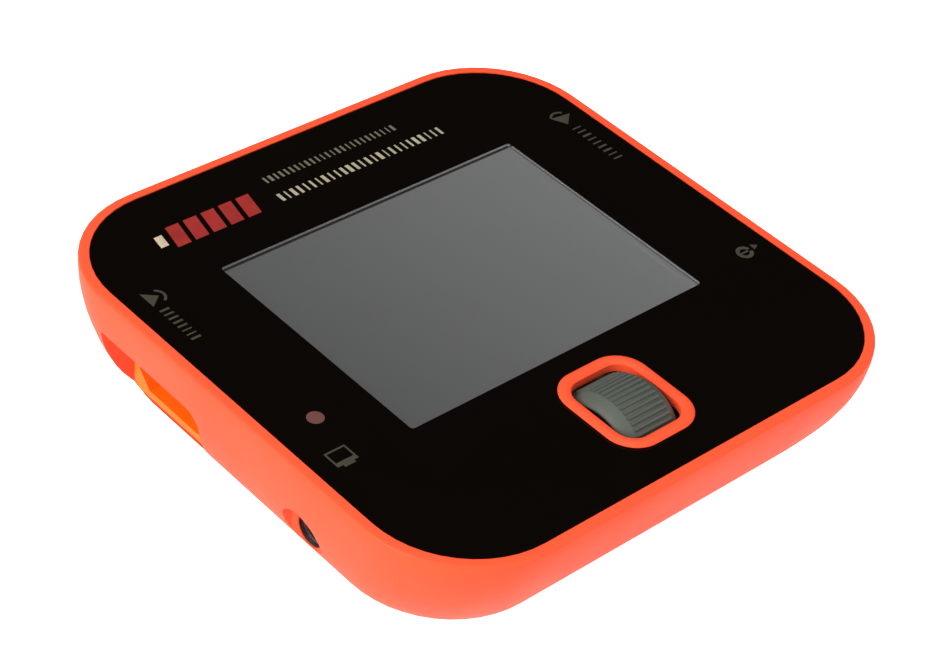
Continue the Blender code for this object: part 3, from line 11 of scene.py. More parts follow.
import bmesh
import bpy
from bpy.props import FloatProperty, FloatVectorProperty, IntProperty, PointerProperty
from bpy.types import Operator, Panel, PropertyGroup
from mathutils import Matrix, Vector

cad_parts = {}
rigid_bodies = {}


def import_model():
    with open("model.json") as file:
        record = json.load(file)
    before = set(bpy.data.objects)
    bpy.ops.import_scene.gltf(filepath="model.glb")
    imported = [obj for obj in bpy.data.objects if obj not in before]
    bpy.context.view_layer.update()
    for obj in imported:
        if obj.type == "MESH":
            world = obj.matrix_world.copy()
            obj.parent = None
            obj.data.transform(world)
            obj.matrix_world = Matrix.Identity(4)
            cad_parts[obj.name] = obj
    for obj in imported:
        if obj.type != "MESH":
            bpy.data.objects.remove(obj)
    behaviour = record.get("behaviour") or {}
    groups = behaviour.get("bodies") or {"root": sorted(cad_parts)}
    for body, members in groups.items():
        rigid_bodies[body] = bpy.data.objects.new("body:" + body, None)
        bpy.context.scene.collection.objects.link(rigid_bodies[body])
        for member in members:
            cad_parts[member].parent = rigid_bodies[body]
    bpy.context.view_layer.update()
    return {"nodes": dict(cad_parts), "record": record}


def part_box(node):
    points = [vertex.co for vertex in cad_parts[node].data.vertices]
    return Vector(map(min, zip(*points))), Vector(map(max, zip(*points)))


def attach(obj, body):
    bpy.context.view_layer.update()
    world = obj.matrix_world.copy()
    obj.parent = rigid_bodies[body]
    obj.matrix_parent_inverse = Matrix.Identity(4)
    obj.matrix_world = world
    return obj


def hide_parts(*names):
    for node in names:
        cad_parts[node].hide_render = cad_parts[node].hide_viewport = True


bl_info = {
    "name": "Balance battery charger",
    "version": (1, 0, 0),
    "blender": (4, 5, 0),
    "location": "3D View > Sidebar > Charger",
    "description": "Builds the finishes of a palm-sized battery charger on its CAD frame",
    "category": "Object",
}

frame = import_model()
SLOTS = {row["node"]: row["material_slot"] for row in frame["record"]["subparts"]}

MM = 0.001
MERGE_DISTANCE = 1e-6
SMOOTH_ANGLE = math.radians(34)
PRINT_LIFT = 0.003 * MM
PRINT_THICKNESS = 0.012 * MM
NOISE_SPREAD = (0.3, 0.7)


# ---------------------------------------------------------------------------------------------
# Settings


def colour_property(name, description, default):
    return FloatVectorProperty(
        name=name, description=description, default=default, subtype="COLOR", size=3, min=0, max=1
    )


def roughness_property(description, default):
    return FloatProperty(
        name="Roughness", description=description, default=default, min=0, max=1, subtype="FACTOR"
    )


def length_property(name, description, default):
    return FloatProperty(name=name, description=description, default=default, unit="LENGTH")


def power_property(name, description, default):
    return FloatProperty(
        name=name, description=description, default=default, min=0, unit="POWER"
    )


class ChargerCaseSettings(PropertyGroup):
    colour: colour_property("Case colour", "Colour of the moulded case", (0.95, 0.086, 0.031))
    roughness: roughness_property("How matt the case is", 0.42)
    grain: length_property("Grain depth", "Depth of the moulded grain", 0.010 * MM)
    base_colour: colour_property("Base colour", "Colour of the base cover", (0.016, 0.016, 0.017))


class ChargerPanelSettings(PropertyGroup):
    colour: colour_property(
        "Panel colour", "Colour behind the gloss front", (0.0024, 0.0014, 0.0007)
    )
    roughness: roughness_property("Blur of the front's reflections", 0.07)
    # The display's two ends are the colours of a painted glow that stands in for light through the
    # window.
    painted_glow_dark: colour_property(
        "Display, dark end", "Glow at the lower left", (0.103, 0.103, 0.104)
    )
    painted_glow_light: colour_property(
        "Display, light end", "Glow at the upper right", (0.196, 0.196, 0.198)
    )
    display_border: length_property(
        "Display border", "Unlit strip along the far edge", 0.10 * MM
    )


class ChargerWheelSettings(PropertyGroup):
    colour: colour_property("Wheel colour", "Colour of the moulded rubber", (0.075, 0.088, 0.072))
    ribs: IntProperty(name="Ribs", description="Number of ribs round the tread", default=56, min=12)
    rib_radius: length_property("Rib radius", "Radius of each rib", 0.27 * MM)


class ChargerPrintSettings(PropertyGroup):
    dim: colour_property("Dim ink", "Ink of the port marks", (0.050, 0.044, 0.030))
    bright: colour_property("Bright ink", "Ink of the lower row of dashes", (0.36, 0.33, 0.23))
    middle: colour_property("Middle ink", "Ink of the upper row of dashes", (0.14, 0.125, 0.09))
    accent: colour_property("Accent ink", "Ink of the battery mark", (0.30, 0.018, 0.015))
    cream: colour_property("Cream ink", "Ink of the battery mark's cap", (0.52, 0.43, 0.31))


class ChargerStageSettings(PropertyGroup):
    floor_colour: colour_property("Floor colour", "Colour of the floor", (0.93, 0.93, 0.93))
    key_power: power_property("Key power", "Power that the key and top lights share out", 4.3)
    fill_power: power_property("Fill power", "Power of the fill light", 2.3)
    lens: FloatProperty(
        name="Focal length", description="Focal length in millimetres", default=97.66, min=10
    )


# ---------------------------------------------------------------------------------------------
# Shader building blocks


class Shading:
    """A node tree being filled, with short calls for adding and joining nodes."""

    COLOUR_MIX_INPUTS = (0, 6, 7)
    COLOUR_MIX_OUTPUT = 2

    def __init__(self, tree):
        self.tree = tree

    def add(self, kind, **values):
        node = self.tree.nodes.new(kind)
        for key, value in values.items():
            setattr(node, key, value)
        return node

    def join(self, out, into):
        self.tree.links.new(out, into)

    def give(self, value, socket):
        """Sets a socket to a number or a colour, or joins another node's output to it."""
        if isinstance(value, (int, float)):
            socket.default_value = value
        elif isinstance(value, (tuple, list)):
            socket.default_value = (*value[:3], 1.0)
        else:
            self.join(value, socket)

    def math(self, operation, first, second):
        node = self.add("ShaderNodeMath", operation=operation)
        for value, socket in zip((first, second), node.inputs):
            self.give(value, socket)
        return node.outputs[0]

    def noise(self, vector, scale, detail=3.0, roughness=0.5, distortion=0.0):
        node = self.add("ShaderNodeTexNoise")
        self.join(vector, node.inputs["Vector"])
        values = (scale, detail, roughness, distortion)
        for name, value in zip(("Scale", "Detail", "Roughness", "Distortion"), values):
            self.give(value, node.inputs[name])
        return node.outputs["Fac"]

    def remap(self, value, low, high, to_low, to_high):
        node = self.add("ShaderNodeMapRange")
        self.join(value, node.inputs["Value"])
        names = ("From Min", "From Max", "To Min", "To Max")
        for name, number in zip(names, (low, high, to_low, to_high)):
            node.inputs[name].default_value = number
        return node.outputs["Result"]

    def mix(self, factor, first, second):
        node = self.add("ShaderNodeMix", data_type="RGBA")
        factor_in, first_in, second_in = (node.inputs[i] for i in self.COLOUR_MIX_INPUTS)
        for value, socket in ((factor, factor_in), (first, first_in), (second, second_in)):
            self.give(value, socket)
        return node.outputs[self.COLOUR_MIX_OUTPUT]


def new_group(name, inputs, outputs):
    """An empty shader group with named sockets: (group, shading, input node, output node)."""
    group = bpy.data.node_groups.new(name, "ShaderNodeTree")
    for label, kind, default in inputs:
        socket = group.interface.new_socket(label, in_out="INPUT", socket_type=kind)
        if default is not None:
            socket.default_value = default
    for label, kind in outputs:
        group.interface.new_socket(label, in_out="OUTPUT", socket_type=kind)
    shading = Shading(group)
    return group, shading, shading.add("NodeGroupInput"), shading.add("NodeGroupOutput")


def moulded_grain_group():
    """Fine spark-eroded grain, and slow clouding of colour and gloss."""
    coarse_share = 0.38
    fine_weight = 0.6
    coarse_weight = 0.4
    name = "moulded_grain"
    if name in bpy.data.node_groups:
        return bpy.data.node_groups[name]
    group, s, inputs, outputs = new_group(
        name,
        [
            ("Vector", "NodeSocketVector", None),
            ("Grain Scale", "NodeSocketFloat", 4200.0),
            ("Cloud Scale", "NodeSocketFloat", 45.0),
        ],
        [("Height", "NodeSocketFloat"), ("Cloud", "NodeSocketFloat")],
    )
    vector = inputs.outputs["Vector"]
    scale = inputs.outputs["Grain Scale"]
    fine = s.noise(vector, scale, detail=2.0, roughness=0.6)
    coarse = s.noise(vector, s.math("MULTIPLY", scale, coarse_share), detail=2.0)
    fine = s.math("MULTIPLY", fine, fine_weight)
    coarse = s.math("MULTIPLY", coarse, coarse_weight)
    s.join(s.math("ADD", fine, coarse), outputs.inputs["Height"])
    cloud = s.noise(
        vector, inputs.outputs["Cloud Scale"], detail=4.0, roughness=0.55, distortion=0.4
    )
    s.join(s.remap(cloud, *NOISE_SPREAD, 0.0, 1.0), outputs.inputs["Cloud"])
    return group


def rubbed_patches_group():
    """Faint wiped patches and hair scratches, as on a handled gloss or satin surface."""
    patch_spread = (0.42, 0.72)
    scratch_spread = (0.68, 0.74)
    scratch_turn = math.radians(33)
    scratch_stretch = 0.02
    name = "rubbed_patches"
    if name in bpy.data.node_groups:
        return bpy.data.node_groups[name]
    group, s, inputs, outputs = new_group(
        name,
        [
            ("Vector", "NodeSocketVector", None),
            ("Patch Scale", "NodeSocketFloat", 60.0),
            ("Scratch Scale", "NodeSocketFloat", 900.0),
        ],
        [("Patches", "NodeSocketFloat"), ("Scratches", "NodeSocketFloat")],
    )
    vector = inputs.outputs["Vector"]
    patches = s.noise(
        vector, inputs.outputs["Patch Scale"], detail=5.0, roughness=0.6, distortion=1.2
    )
    s.join(s.remap(patches, *patch_spread, 0.0, 1.0), outputs.inputs["Patches"])
    stretch = s.add("ShaderNodeMapping")
    stretch.inputs["Rotation"].default_value = (0.0, 0.0, scratch_turn)
    stretch.inputs["Scale"].default_value = (1.0, scratch_stretch, 1.0)
    s.join(vector, stretch.inputs["Vector"])
    lines = s.noise(stretch.outputs["Vector"], inputs.outputs["Scratch Scale"], detail=1.0)
    s.join(s.remap(lines, *scratch_spread, 0.0, 1.0), outputs.inputs["Scratches"])
    return group


def new_material(name):
    """A material with its default tree: (material, shading, principled, object coordinates)."""
    material = bpy.data.materials.new(name)
    material.use_nodes = True
    shader = material.node_tree.nodes["Principled BSDF"]
    s = Shading(material.node_tree)
    return material, s, shader, s.add("ShaderNodeTexCoord").outputs["Object"]


def place_group(s, group, vector, **values):
    node = s.add("ShaderNodeGroup", node_tree=group)
    s.join(vector, node.inputs["Vector"])
    for key, value in values.items():
        node.inputs[key.replace("_", " ").title()].default_value = value
    return node


def bump(s, shader, height, depth):
    node = s.add("ShaderNodeBump")
    node.inputs["Strength"].default_value = 1.0
    node.inputs["Distance"].default_value = depth
    s.join(height, node.inputs["Height"])
    s.join(node.outputs["Normal"], shader.inputs["Normal"])


def scaled(colour, factor):
    return tuple(min(1.0, channel * factor) for channel in colour)


def moulded(
    name, colour, roughness, depth, grain_scale=4200.0, cloud=0.06, coat=0.0, specular=0.5
):
    """A moulded plastic or rubber: grain, clouding and rubbed patches that shine a little more."""
    scratch_show, scratch_paleness = 0.10, 1.5
    clouded_dull, clouded_shine, rubbed_shine = 0.04, 0.03, 0.06
    material, s, shader, vector = new_material(name)
    grain = place_group(s, moulded_grain_group(), vector, grain_scale=grain_scale, cloud_scale=55.0)
    rubbed = place_group(s, rubbed_patches_group(), vector, patch_scale=85.0, scratch_scale=1400.0)
    tone = s.mix(grain.outputs["Cloud"], scaled(colour, 1 - cloud), scaled(colour, 1 + cloud))
    scratched = s.math("MULTIPLY", rubbed.outputs["Scratches"], scratch_show)
    paler = s.mix(scratched, tone, scaled(colour, scratch_paleness))
    s.join(paler, shader.inputs["Base Color"])
    gloss = s.remap(
        grain.outputs["Cloud"], 0.0, 1.0, roughness + clouded_dull, roughness - clouded_shine
    )
    shine = s.math("MULTIPLY", rubbed.outputs["Patches"], rubbed_shine)
    s.join(s.math("SUBTRACT", gloss, shine), shader.inputs["Roughness"])
    shader.inputs["Specular IOR Level"].default_value = specular
    shader.inputs["Coat Weight"].default_value = coat
    bump(s, shader, grain.outputs["Height"], depth)
    return material


def polish_wear(s, vector):
    """The patches and scratches that the gloss front and its window share."""
    return place_group(s, rubbed_patches_group(), vector, patch_scale=38.0, scratch_scale=700.0)


def gloss_front(name, colour, roughness):
    """Black gloss front: faint wiped patches and hair scratches in the polish."""
    patch_paleness, patch_blur, scratch_blur = 1.25, 0.035, 0.05
    material, s, shader, vector = new_material(name)
    rubbed = polish_wear(s, vector)
    tone = s.mix(rubbed.outputs["Patches"], colour, scaled(colour, patch_paleness))
    s.join(tone, shader.inputs["Base Color"])
    patches = s.math("MULTIPLY", rubbed.outputs["Patches"], patch_blur)
    scratches = s.math("MULTIPLY", rubbed.outputs["Scratches"], scratch_blur)
    s.join(s.math("ADD", s.math("ADD", patches, scratches), roughness), shader.inputs["Roughness"])
    return material


def clear_window(name):
    """The clear plastic over the display, with the front's wiped patches."""
    least_blur, patch_blur = 0.015, 0.02
    material, s, shader, vector = new_material(name)
    shader.inputs["Base Color"].default_value = (0.95, 0.96, 0.96, 1.0)
    shader.inputs["Transmission Weight"].default_value = 1.0
    shader.inputs["IOR"].default_value = 1.49
    patches = s.math("MULTIPLY", polish_wear(s, vector).outputs["Patches"], patch_blur)
    s.join(s.math("ADD", patches, least_blur), shader.inputs["Roughness"])
    return material


def display_painted_glow(name, dark, light, lit_low, lit_high):
    """A display's grey field, painted as a glow: its emission stands in for the light that reaches
    the screen through the window, and its brightening towards the far right corner is painted
    light.
    """
    across_share, along_share = 0.86, 0.14
    haze_scale, haze_low, haze_high = 120.0, 0.985, 1.015
    unlit = (0.028, 0.025, 0.018)
    material, s, shader, vector = new_material(name)
    shader.inputs["Base Color"].default_value = (0.004, 0.004, 0.004, 1.0)
    shader.inputs["Roughness"].default_value = 0.35
    split = s.add("ShaderNodeSeparateXYZ")
    s.join(vector, split.inputs[0])
    across = s.remap(split.outputs["X"], lit_low.x, lit_high.x, 0.0, across_share)
    along = s.remap(split.outputs["Y"], lit_low.y, lit_high.y, 0.0, along_share)
    # Painted light: the glow brightens from the lower left to the upper right.
    painted_field = s.mix(s.math("ADD", across, along), dark, light)
    haze = s.remap(s.noise(vector, haze_scale), *NOISE_SPREAD, haze_low, haze_high)
    sides = [
        s.math("GREATER_THAN", split.outputs["X"], lit_low.x),
        s.math("LESS_THAN", split.outputs["X"], lit_high.x),
        s.math("GREATER_THAN", split.outputs["Y"], lit_low.y),
        s.math("LESS_THAN", split.outputs["Y"], lit_high.y),
    ]
    lit = sides[0]
    for side in sides[1:]:
        lit = s.math("MULTIPLY", lit, side)
    # Emission paints the screen's light, in place of the light that reaches it through the window.
    s.join(s.mix(s.math("MULTIPLY", lit, haze), unlit, painted_field), shader.inputs["Emission Color"])
    shader.inputs["Emission Strength"].default_value = 1.0
    return material


def brushed_metal(name, colour, roughness, stretch=(1.0, 1.0, 0.06)):
    """A plated or turned metal: fine lines along one axis, with slow clouding."""
    line_scale, line_depth = 5200.0, 0.002 * MM
    line_shine, line_blur = 0.08, 0.12
    cloud_dark, cloud_pale = 0.86, 1.08
    material, s, shader, vector = new_material(name)
    mapping = s.add("ShaderNodeMapping")
    mapping.inputs["Scale"].default_value = stretch
    s.join(vector, mapping.inputs["Vector"])
    lines = s.noise(mapping.outputs["Vector"], line_scale, detail=2.0)
    grain = place_group(s, moulded_grain_group(), vector, grain_scale=2600.0, cloud_scale=180.0)
    tone = s.mix(grain.outputs["Cloud"], scaled(colour, cloud_dark), scaled(colour, cloud_pale))
    s.join(tone, shader.inputs["Base Color"])
    gloss = s.remap(lines, *NOISE_SPREAD, roughness - line_shine, roughness + line_blur)
    s.join(gloss, shader.inputs["Roughness"])
    shader.inputs["Metallic"].default_value = 1.0
    bump(s, shader, lines, line_depth)
    return material


def circuit_board(name, colour):
    """Green solder mask with faint raised tracks."""
    track_spread = (0.03, 0.06)
    track_paleness, track_height = 2.2, 0.02 * MM
    mask_roughness, track_roughness = 0.42, 0.28
    material, s, shader, vector = new_material(name)
    cells = s.add("ShaderNodeTexVoronoi", feature="DISTANCE_TO_EDGE", distance="MANHATTAN")
    cells.inputs["Scale"].default_value = 420.0
    s.join(vector, cells.inputs["Vector"])
    track = s.remap(cells.outputs["Distance"], *track_spread, 1.0, 0.0)
    s.join(s.mix(track, colour, scaled(colour, track_paleness)), shader.inputs["Base Color"])
    gloss = s.remap(track, 0.0, 1.0, mask_roughness, track_roughness)
    s.join(gloss, shader.inputs["Roughness"])
    bump(s, shader, track, track_height)
    return material


def wound_wire(name, colour):
    """Turns of enamelled wire, one above the other, with painted shade in the grooves between turns
    and a painted highlight on their crests.
    """
    groove_painted_shade, crest_painted_highlight = 0.55, 1.1
    groove_roughness, crest_roughness = 0.45, 0.26
    turn_height = 0.08 * MM
    material, s, shader, vector = new_material(name)
    wave = s.add("ShaderNodeTexWave", wave_type="BANDS", bands_direction="Z")
    wave.inputs["Scale"].default_value = 640.0
    wave.inputs["Distortion"].default_value = 0.4
    s.join(vector, wave.inputs["Vector"])
    turns = wave.outputs["Fac"]
    # Painted shade in the grooves and a painted highlight on the crests.
    tone = s.mix(turns, scaled(colour, groove_painted_shade), scaled(colour, crest_painted_highlight))
    s.join(tone, shader.inputs["Base Color"])
    gloss = s.remap(turns, 0.0, 1.0, groove_roughness, crest_roughness)
    s.join(gloss, shader.inputs["Roughness"])
    shader.inputs["Metallic"].default_value = 1.0
    bump(s, shader, turns, turn_height)
    return material


def printed_ink(name, colour):
    """Silk-screened ink: a slightly uneven film."""
    thin_dark, thick_pale = 0.85, 1.12
    least_roughness, most_roughness = 0.36, 0.52
    film_height = 0.004 * MM
    material, s, shader, vector = new_material(name)
    grain = place_group(s, moulded_grain_group(), vector, grain_scale=6000.0, cloud_scale=300.0)
    tone = s.mix(grain.outputs["Cloud"], scaled(colour, thin_dark), scaled(colour, thick_pale))
    s.join(tone, shader.inputs["Base Color"])
    film = grain.outputs["Height"]
    gloss = s.remap(film, *NOISE_SPREAD, least_roughness, most_roughness)
    s.join(gloss, shader.inputs["Roughness"])
    bump(s, shader, film, film_height)
    return material


MOULDED_SLOTS = {
    "black_plastic": {"roughness": 0.5, "depth": 0.014 * MM, "grain_scale": 3400.0, "cloud": 0.15},
    "wheel_rubber": {
        "roughness": 0.55, "depth": 0.012 * MM, "grain_scale": 5200.0,
        "cloud": 0.10, "specular": 0.3,
    },
    "foam": {
        "colour": (0.03, 0.03, 0.03), "roughness": 0.9, "depth": 0.05 * MM,
        "grain_scale": 2400.0, "cloud": 0.2,
    },
    "foot_rubber": {
        "colour": (0.022, 0.022, 0.022), "roughness": 0.82, "depth": 0.02 * MM,
        "grain_scale": 2800.0, "cloud": 0.2,
    },
    "amber_plastic": {
        "colour": (0.98, 0.16, 0.004), "roughness": 0.36, "depth": 0.005 * MM,
        "cloud": 0.05, "specular": 0.2,
    },
    "white_plastic": {"colour": (0.72, 0.72, 0.69), "roughness": 0.5, "depth": 0.008 * MM},
    "ivory_plastic": {"colour": (0.78, 0.73, 0.60), "roughness": 0.46, "depth": 0.006 * MM},
    "amber_film": {
        "colour": (0.50, 0.22, 0.04), "roughness": 0.32, "depth": 0.003 * MM, "coat": 0.4
    },
    "light_pipe": {
        "colour": (0.135, 0.052, 0.045), "roughness": 0.32, "depth": 0.004 * MM, "coat": 0.5
    },
    "capacitor_sleeve": {
        "colour": (0.03, 0.04, 0.10), "roughness": 0.32, "depth": 0.003 * MM, "coat": 0.3
    },
}
METAL_SLOTS = {
    "steel": {"colour": (0.56, 0.56, 0.57), "roughness": 0.30},
    "gold": {"colour": (0.83, 0.60, 0.25), "roughness": 0.24, "stretch": (0.06, 1.0, 1.0)},
    "aluminium": {"colour": (0.70, 0.70, 0.72), "roughness": 0.34},
}


def screen_painted_glow(name, panel):
    """The display's painted glow, lit up to the window's edges as they stand in front of it."""
    low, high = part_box("display_lens")
    near_edge = Vector((0.25 * MM, -0.10 * MM, 0.0))
    far_edge = Vector((0.50 * MM, -panel.display_border, 0.0))
    dark, light = tuple(panel.painted_glow_dark), tuple(panel.painted_glow_light)
    return display_painted_glow(name, dark, light, low + near_edge, high + far_edge)


def finish(slot):
    """The material of a slot, made the first time it is asked for."""
    name = "finish_" + slot
    found = bpy.data.materials.get(name)
    if found:
        return found
    scene = bpy.context.scene
    case, panel, wheel = scene.charger_case, scene.charger_panel, scene.charger_wheel
    if slot == "orange_shell":
        return moulded(
            name, tuple(case.colour), case.roughness, case.grain, cloud=0.025, specular=0.12
        )
    if slot == "black_glass":
        return gloss_front(name, tuple(panel.colour), panel.roughness)
    if slot == "clear_glass":
        return clear_window(name)
    if slot == "screen":
        return screen_painted_glow(name, panel)
    if slot == "wheel_rubber":
        return moulded(name, tuple(wheel.colour), **MOULDED_SLOTS[slot])
    if slot == "black_plastic":
        return moulded(name, tuple(case.base_colour), **MOULDED_SLOTS[slot])
    if slot in MOULDED_SLOTS:
        return moulded(name, **MOULDED_SLOTS[slot])
    if slot in METAL_SLOTS:
        return brushed_metal(name, **METAL_SLOTS[slot])
    if slot == "board_green":
        return circuit_board(name, (0.012, 0.10, 0.040))
    if slot == "copper":
        return wound_wire(name, (0.70, 0.32, 0.16))
    raise ValueError(f"no finish is written for the slot {slot}")


# ---------------------------------------------------------------------------------------------
# Pieces


def body_of(node):
    for body, nodes in frame["record"]["behaviour"]["bodies"].items():
        if node in nodes:
            return body
    raise ValueError(f"{node} is on no body")


def show(name, mesh, material, body):
    """Links a mesh as a finished piece that rides on a body."""
    if not mesh.materials:
        mesh.materials.append(material)
    obj = bpy.data.objects.new(name, mesh)
    bpy.context.scene.collection.objects.link(obj)
    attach(obj, body)
    return obj


def mesh_of(name, bm, smooth=True):
    """The bmesh as a mesh, smooth-shaded up to its edges unless it is flat work."""
    mesh = bpy.data.meshes.new(name)
    bm.to_mesh(mesh)
    bm.free()
    if smooth:
        mesh.shade_smooth()
        mesh.set_sharp_from_angle(angle=SMOOTH_ANGLE)
    return mesh


def merged_copy(node):
    """The node's triangles with their shared corners joined."""
    source = frame["nodes"][node].data
    bm = bmesh.new()
    points = [bm.verts.new(vertex.co) for vertex in source.vertices]
    for polygon in source.polygons:
        bm.faces.new([points[i] for i in polygon.vertices])
    bmesh.ops.remove_doubles(bm, verts=bm.verts, dist=MERGE_DISTANCE)
    return bm


def smooth_node(node):
    """Stands a smooth-shaded copy in for a node, with the finish of its slot."""
    mesh = mesh_of(node + "_shell", merged_copy(node))
    obj = show(node + "_shell", mesh, finish(SLOTS[node]), body_of(node))
    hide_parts(node)


def prism_mesh(name, outlines, low, high):
    """Flat outlines in X and Y, each made a thin solid between two heights."""
    bm = bmesh.new()
    for outline in outlines:
        lower = [bm.verts.new((x, y, low)) for x, y in outline]
        upper = [bm.verts.new((x, y, high)) for x, y in outline]
        bm.faces.new(list(reversed(lower)))
        bm.faces.new(upper)
        count = len(outline)
        for i in range(count):
            j = (i + 1) % count
            bm.faces.new((lower[i], lower[j], upper[j], upper[i]))
    bmesh.ops.recalc_face_normals(bm, faces=bm.faces)
    return mesh_of(name, bm, smooth=False)


# ---------------------------------------------------------------------------------------------
# Geometry Nodes


def new_tree(name, inputs):
    """A tree with named inputs: (tree, its short calls, input node, output node)."""
    tree = bpy.data.node_groups.new(name, "GeometryNodeTree")
    tree.interface.new_socket("Geometry", in_out="INPUT", socket_type="NodeSocketGeometry")
    for label, kind, default in inputs:
        socket = tree.interface.new_socket(label, in_out="INPUT", socket_type=kind)
        if default is not None:
            socket.default_value = default
    tree.interface.new_socket("Geometry", in_out="OUTPUT", socket_type="NodeSocketGeometry")
    g = Shading(tree)
    return tree, g, g.add("NodeGroupInput"), g.add("NodeGroupOutput")


def end_tree(g, geometry, moves, material, outputs):
    """Moves the geometry, makes its instances real and gives it its material."""
    place = g.add("GeometryNodeTransform")
    for name, socket in moves.items():
        g.join(socket, place.inputs[name])
    g.join(geometry, place.inputs["Geometry"])
    real = g.add("GeometryNodeRealizeInstances")
    g.join(place.outputs["Geometry"], real.inputs["Geometry"])
    colour = g.add("GeometryNodeSetMaterial")
    g.join(real.outputs["Geometry"], colour.inputs["Geometry"])
    g.join(material, colour.inputs["Material"])
    g.join(colour.outputs["Geometry"], outputs.inputs["Geometry"])


def grown_mesh(name, tree, base, values):
    """The plain mesh that the tree makes on a base mesh, with its inputs set by identifier."""
    obj = bpy.data.objects.new(name + "_base", base)
    bpy.context.scene.collection.objects.link(obj)
    step = obj.modifiers.new("grow", "NODES")
    step.node_group = tree
    for item in tree.interface.items_tree:
        if item.item_type == "SOCKET" and item.in_out == "INPUT" and item.name in values:
            step[item.identifier] = values[item.name]
    graph = bpy.context.evaluated_depsgraph_get()
    mesh = bpy.data.meshes.new_from_object(obj.evaluated_get(graph))
    mesh.name = name
    bpy.data.objects.remove(obj)
    if not mesh.polygons:
        raise RuntimeError(f"{name} came out empty")
    return mesh


def ribbed_tree():
    """Round ribs set side by side round the X axis, joined to the tyre's own mesh."""
    about_y = (0.0, math.radians(90), 0.0)
    rib_sides = 10
    name = "ribbed_tread"
    if name in bpy.data.node_groups:
        return bpy.data.node_groups[name]
    tree, g, inputs, outputs = new_tree(
        name,
        [
            ("Ribs", "NodeSocketInt", 56),
            ("Rib Radius", "NodeSocketFloat", 0.27 * MM),
            ("Rib Length", "NodeSocketFloat", 5.9 * MM),
            ("Wheel Radius", "NodeSocketFloat", 7.2 * MM),
            ("Centre", "NodeSocketVector", None),
            ("Material", "NodeSocketMaterial", None),
        ],
    )
    pin = inputs.outputs
    circle = g.add("GeometryNodeMeshCircle")
    g.join(pin["Ribs"], circle.inputs["Vertices"])
    g.join(g.math("SUBTRACT", pin["Wheel Radius"], pin["Rib Radius"]), circle.inputs["Radius"])
    stand = g.add("GeometryNodeTransform")
    stand.inputs["Rotation"].default_value = about_y
    g.join(circle.outputs["Mesh"], stand.inputs["Geometry"])
    rib = g.add("GeometryNodeMeshCylinder", fill_type="TRIANGLE_FAN")
    rib.inputs["Vertices"].default_value = rib_sides
    g.join(pin["Rib Radius"], rib.inputs["Radius"])
    g.join(pin["Rib Length"], rib.inputs["Depth"])
    lay = g.add("GeometryNodeTransform")
    lay.inputs["Rotation"].default_value = about_y
    g.join(rib.outputs["Mesh"], lay.inputs["Geometry"])
    copies = g.add("GeometryNodeInstanceOnPoints")
    g.join(stand.outputs["Geometry"], copies.inputs["Points"])
    g.join(lay.outputs["Geometry"], copies.inputs["Instance"])
    joined = g.add("GeometryNodeJoinGeometry")
    g.join(copies.outputs["Instances"], joined.inputs["Geometry"])
    g.join(pin["Geometry"], joined.inputs["Geometry"])
    moves = {"Translation": pin["Centre"]}
    end_tree(g, joined.outputs["Geometry"], moves, pin["Material"], outputs)
    return tree


def dash_row_tree():
    """A printed row of small dashes of uneven width, on the panel's plane."""
    name = "dash_row"
    if name in bpy.data.node_groups:
        return bpy.data.node_groups[name]
    tree, g, inputs, outputs = new_tree(
        name,
        [
            ("Count", "NodeSocketInt", 6),
            ("Pitch", "NodeSocketFloat", 1.2 * MM),
            ("Dash Height", "NodeSocketFloat", 1.5 * MM),
            ("Least Width", "NodeSocketFloat", 0.3 * MM),
            ("Most Width", "NodeSocketFloat", 0.8 * MM),
            ("Thickness", "NodeSocketFloat", PRINT_THICKNESS),
            ("Seed", "NodeSocketInt", 1),
            ("Start", "NodeSocketVector", None),
            ("Turn", "NodeSocketRotation", None),
            ("Material", "NodeSocketMaterial", None),
        ],
    )
    pin = inputs.outputs
    offset = g.add("ShaderNodeCombineXYZ")
    g.join(pin["Pitch"], offset.inputs["X"])
    line = g.add("GeometryNodeMeshLine")
    g.join(pin["Count"], line.inputs["Count"])
    g.join(offset.outputs[0], line.inputs["Offset"])
    width = g.add("FunctionNodeRandomValue", data_type="FLOAT")
    g.join(pin["Least Width"], width.inputs[2])
    g.join(pin["Most Width"], width.inputs[3])
    g.join(pin["Seed"], width.inputs["Seed"])
    size = g.add("ShaderNodeCombineXYZ")
    g.join(width.outputs[1], size.inputs["X"])
    g.join(pin["Dash Height"], size.inputs["Y"])
    g.join(pin["Thickness"], size.inputs["Z"])
    dash = g.add("GeometryNodeMeshCube")
    dash.inputs["Size"].default_value = (1.0, 1.0, 1.0)
    copies = g.add("GeometryNodeInstanceOnPoints")
    g.join(line.outputs["Mesh"], copies.inputs["Points"])
    g.join(dash.outputs["Mesh"], copies.inputs["Instance"])
    g.join(size.outputs[0], copies.inputs["Scale"])
    moves = {"Translation": pin["Start"], "Rotation": pin["Turn"]}
    end_tree(g, copies.outputs["Instances"], moves, pin["Material"], outputs)
    return tree


# ---------------------------------------------------------------------------------------------
# Printed marks


def mark_heights():
    """The lowest and highest height of the ink, which stands just clear of the front."""
    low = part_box("front_panel")[1].z + PRINT_LIFT
    return low, low + PRINT_THICKNESS


def mark(name, outlines, material):
    """Prints flat outlines on the front."""
    low, high = mark_heights()
    show(name, prism_mesh(name, outlines, low, high), material, "case")


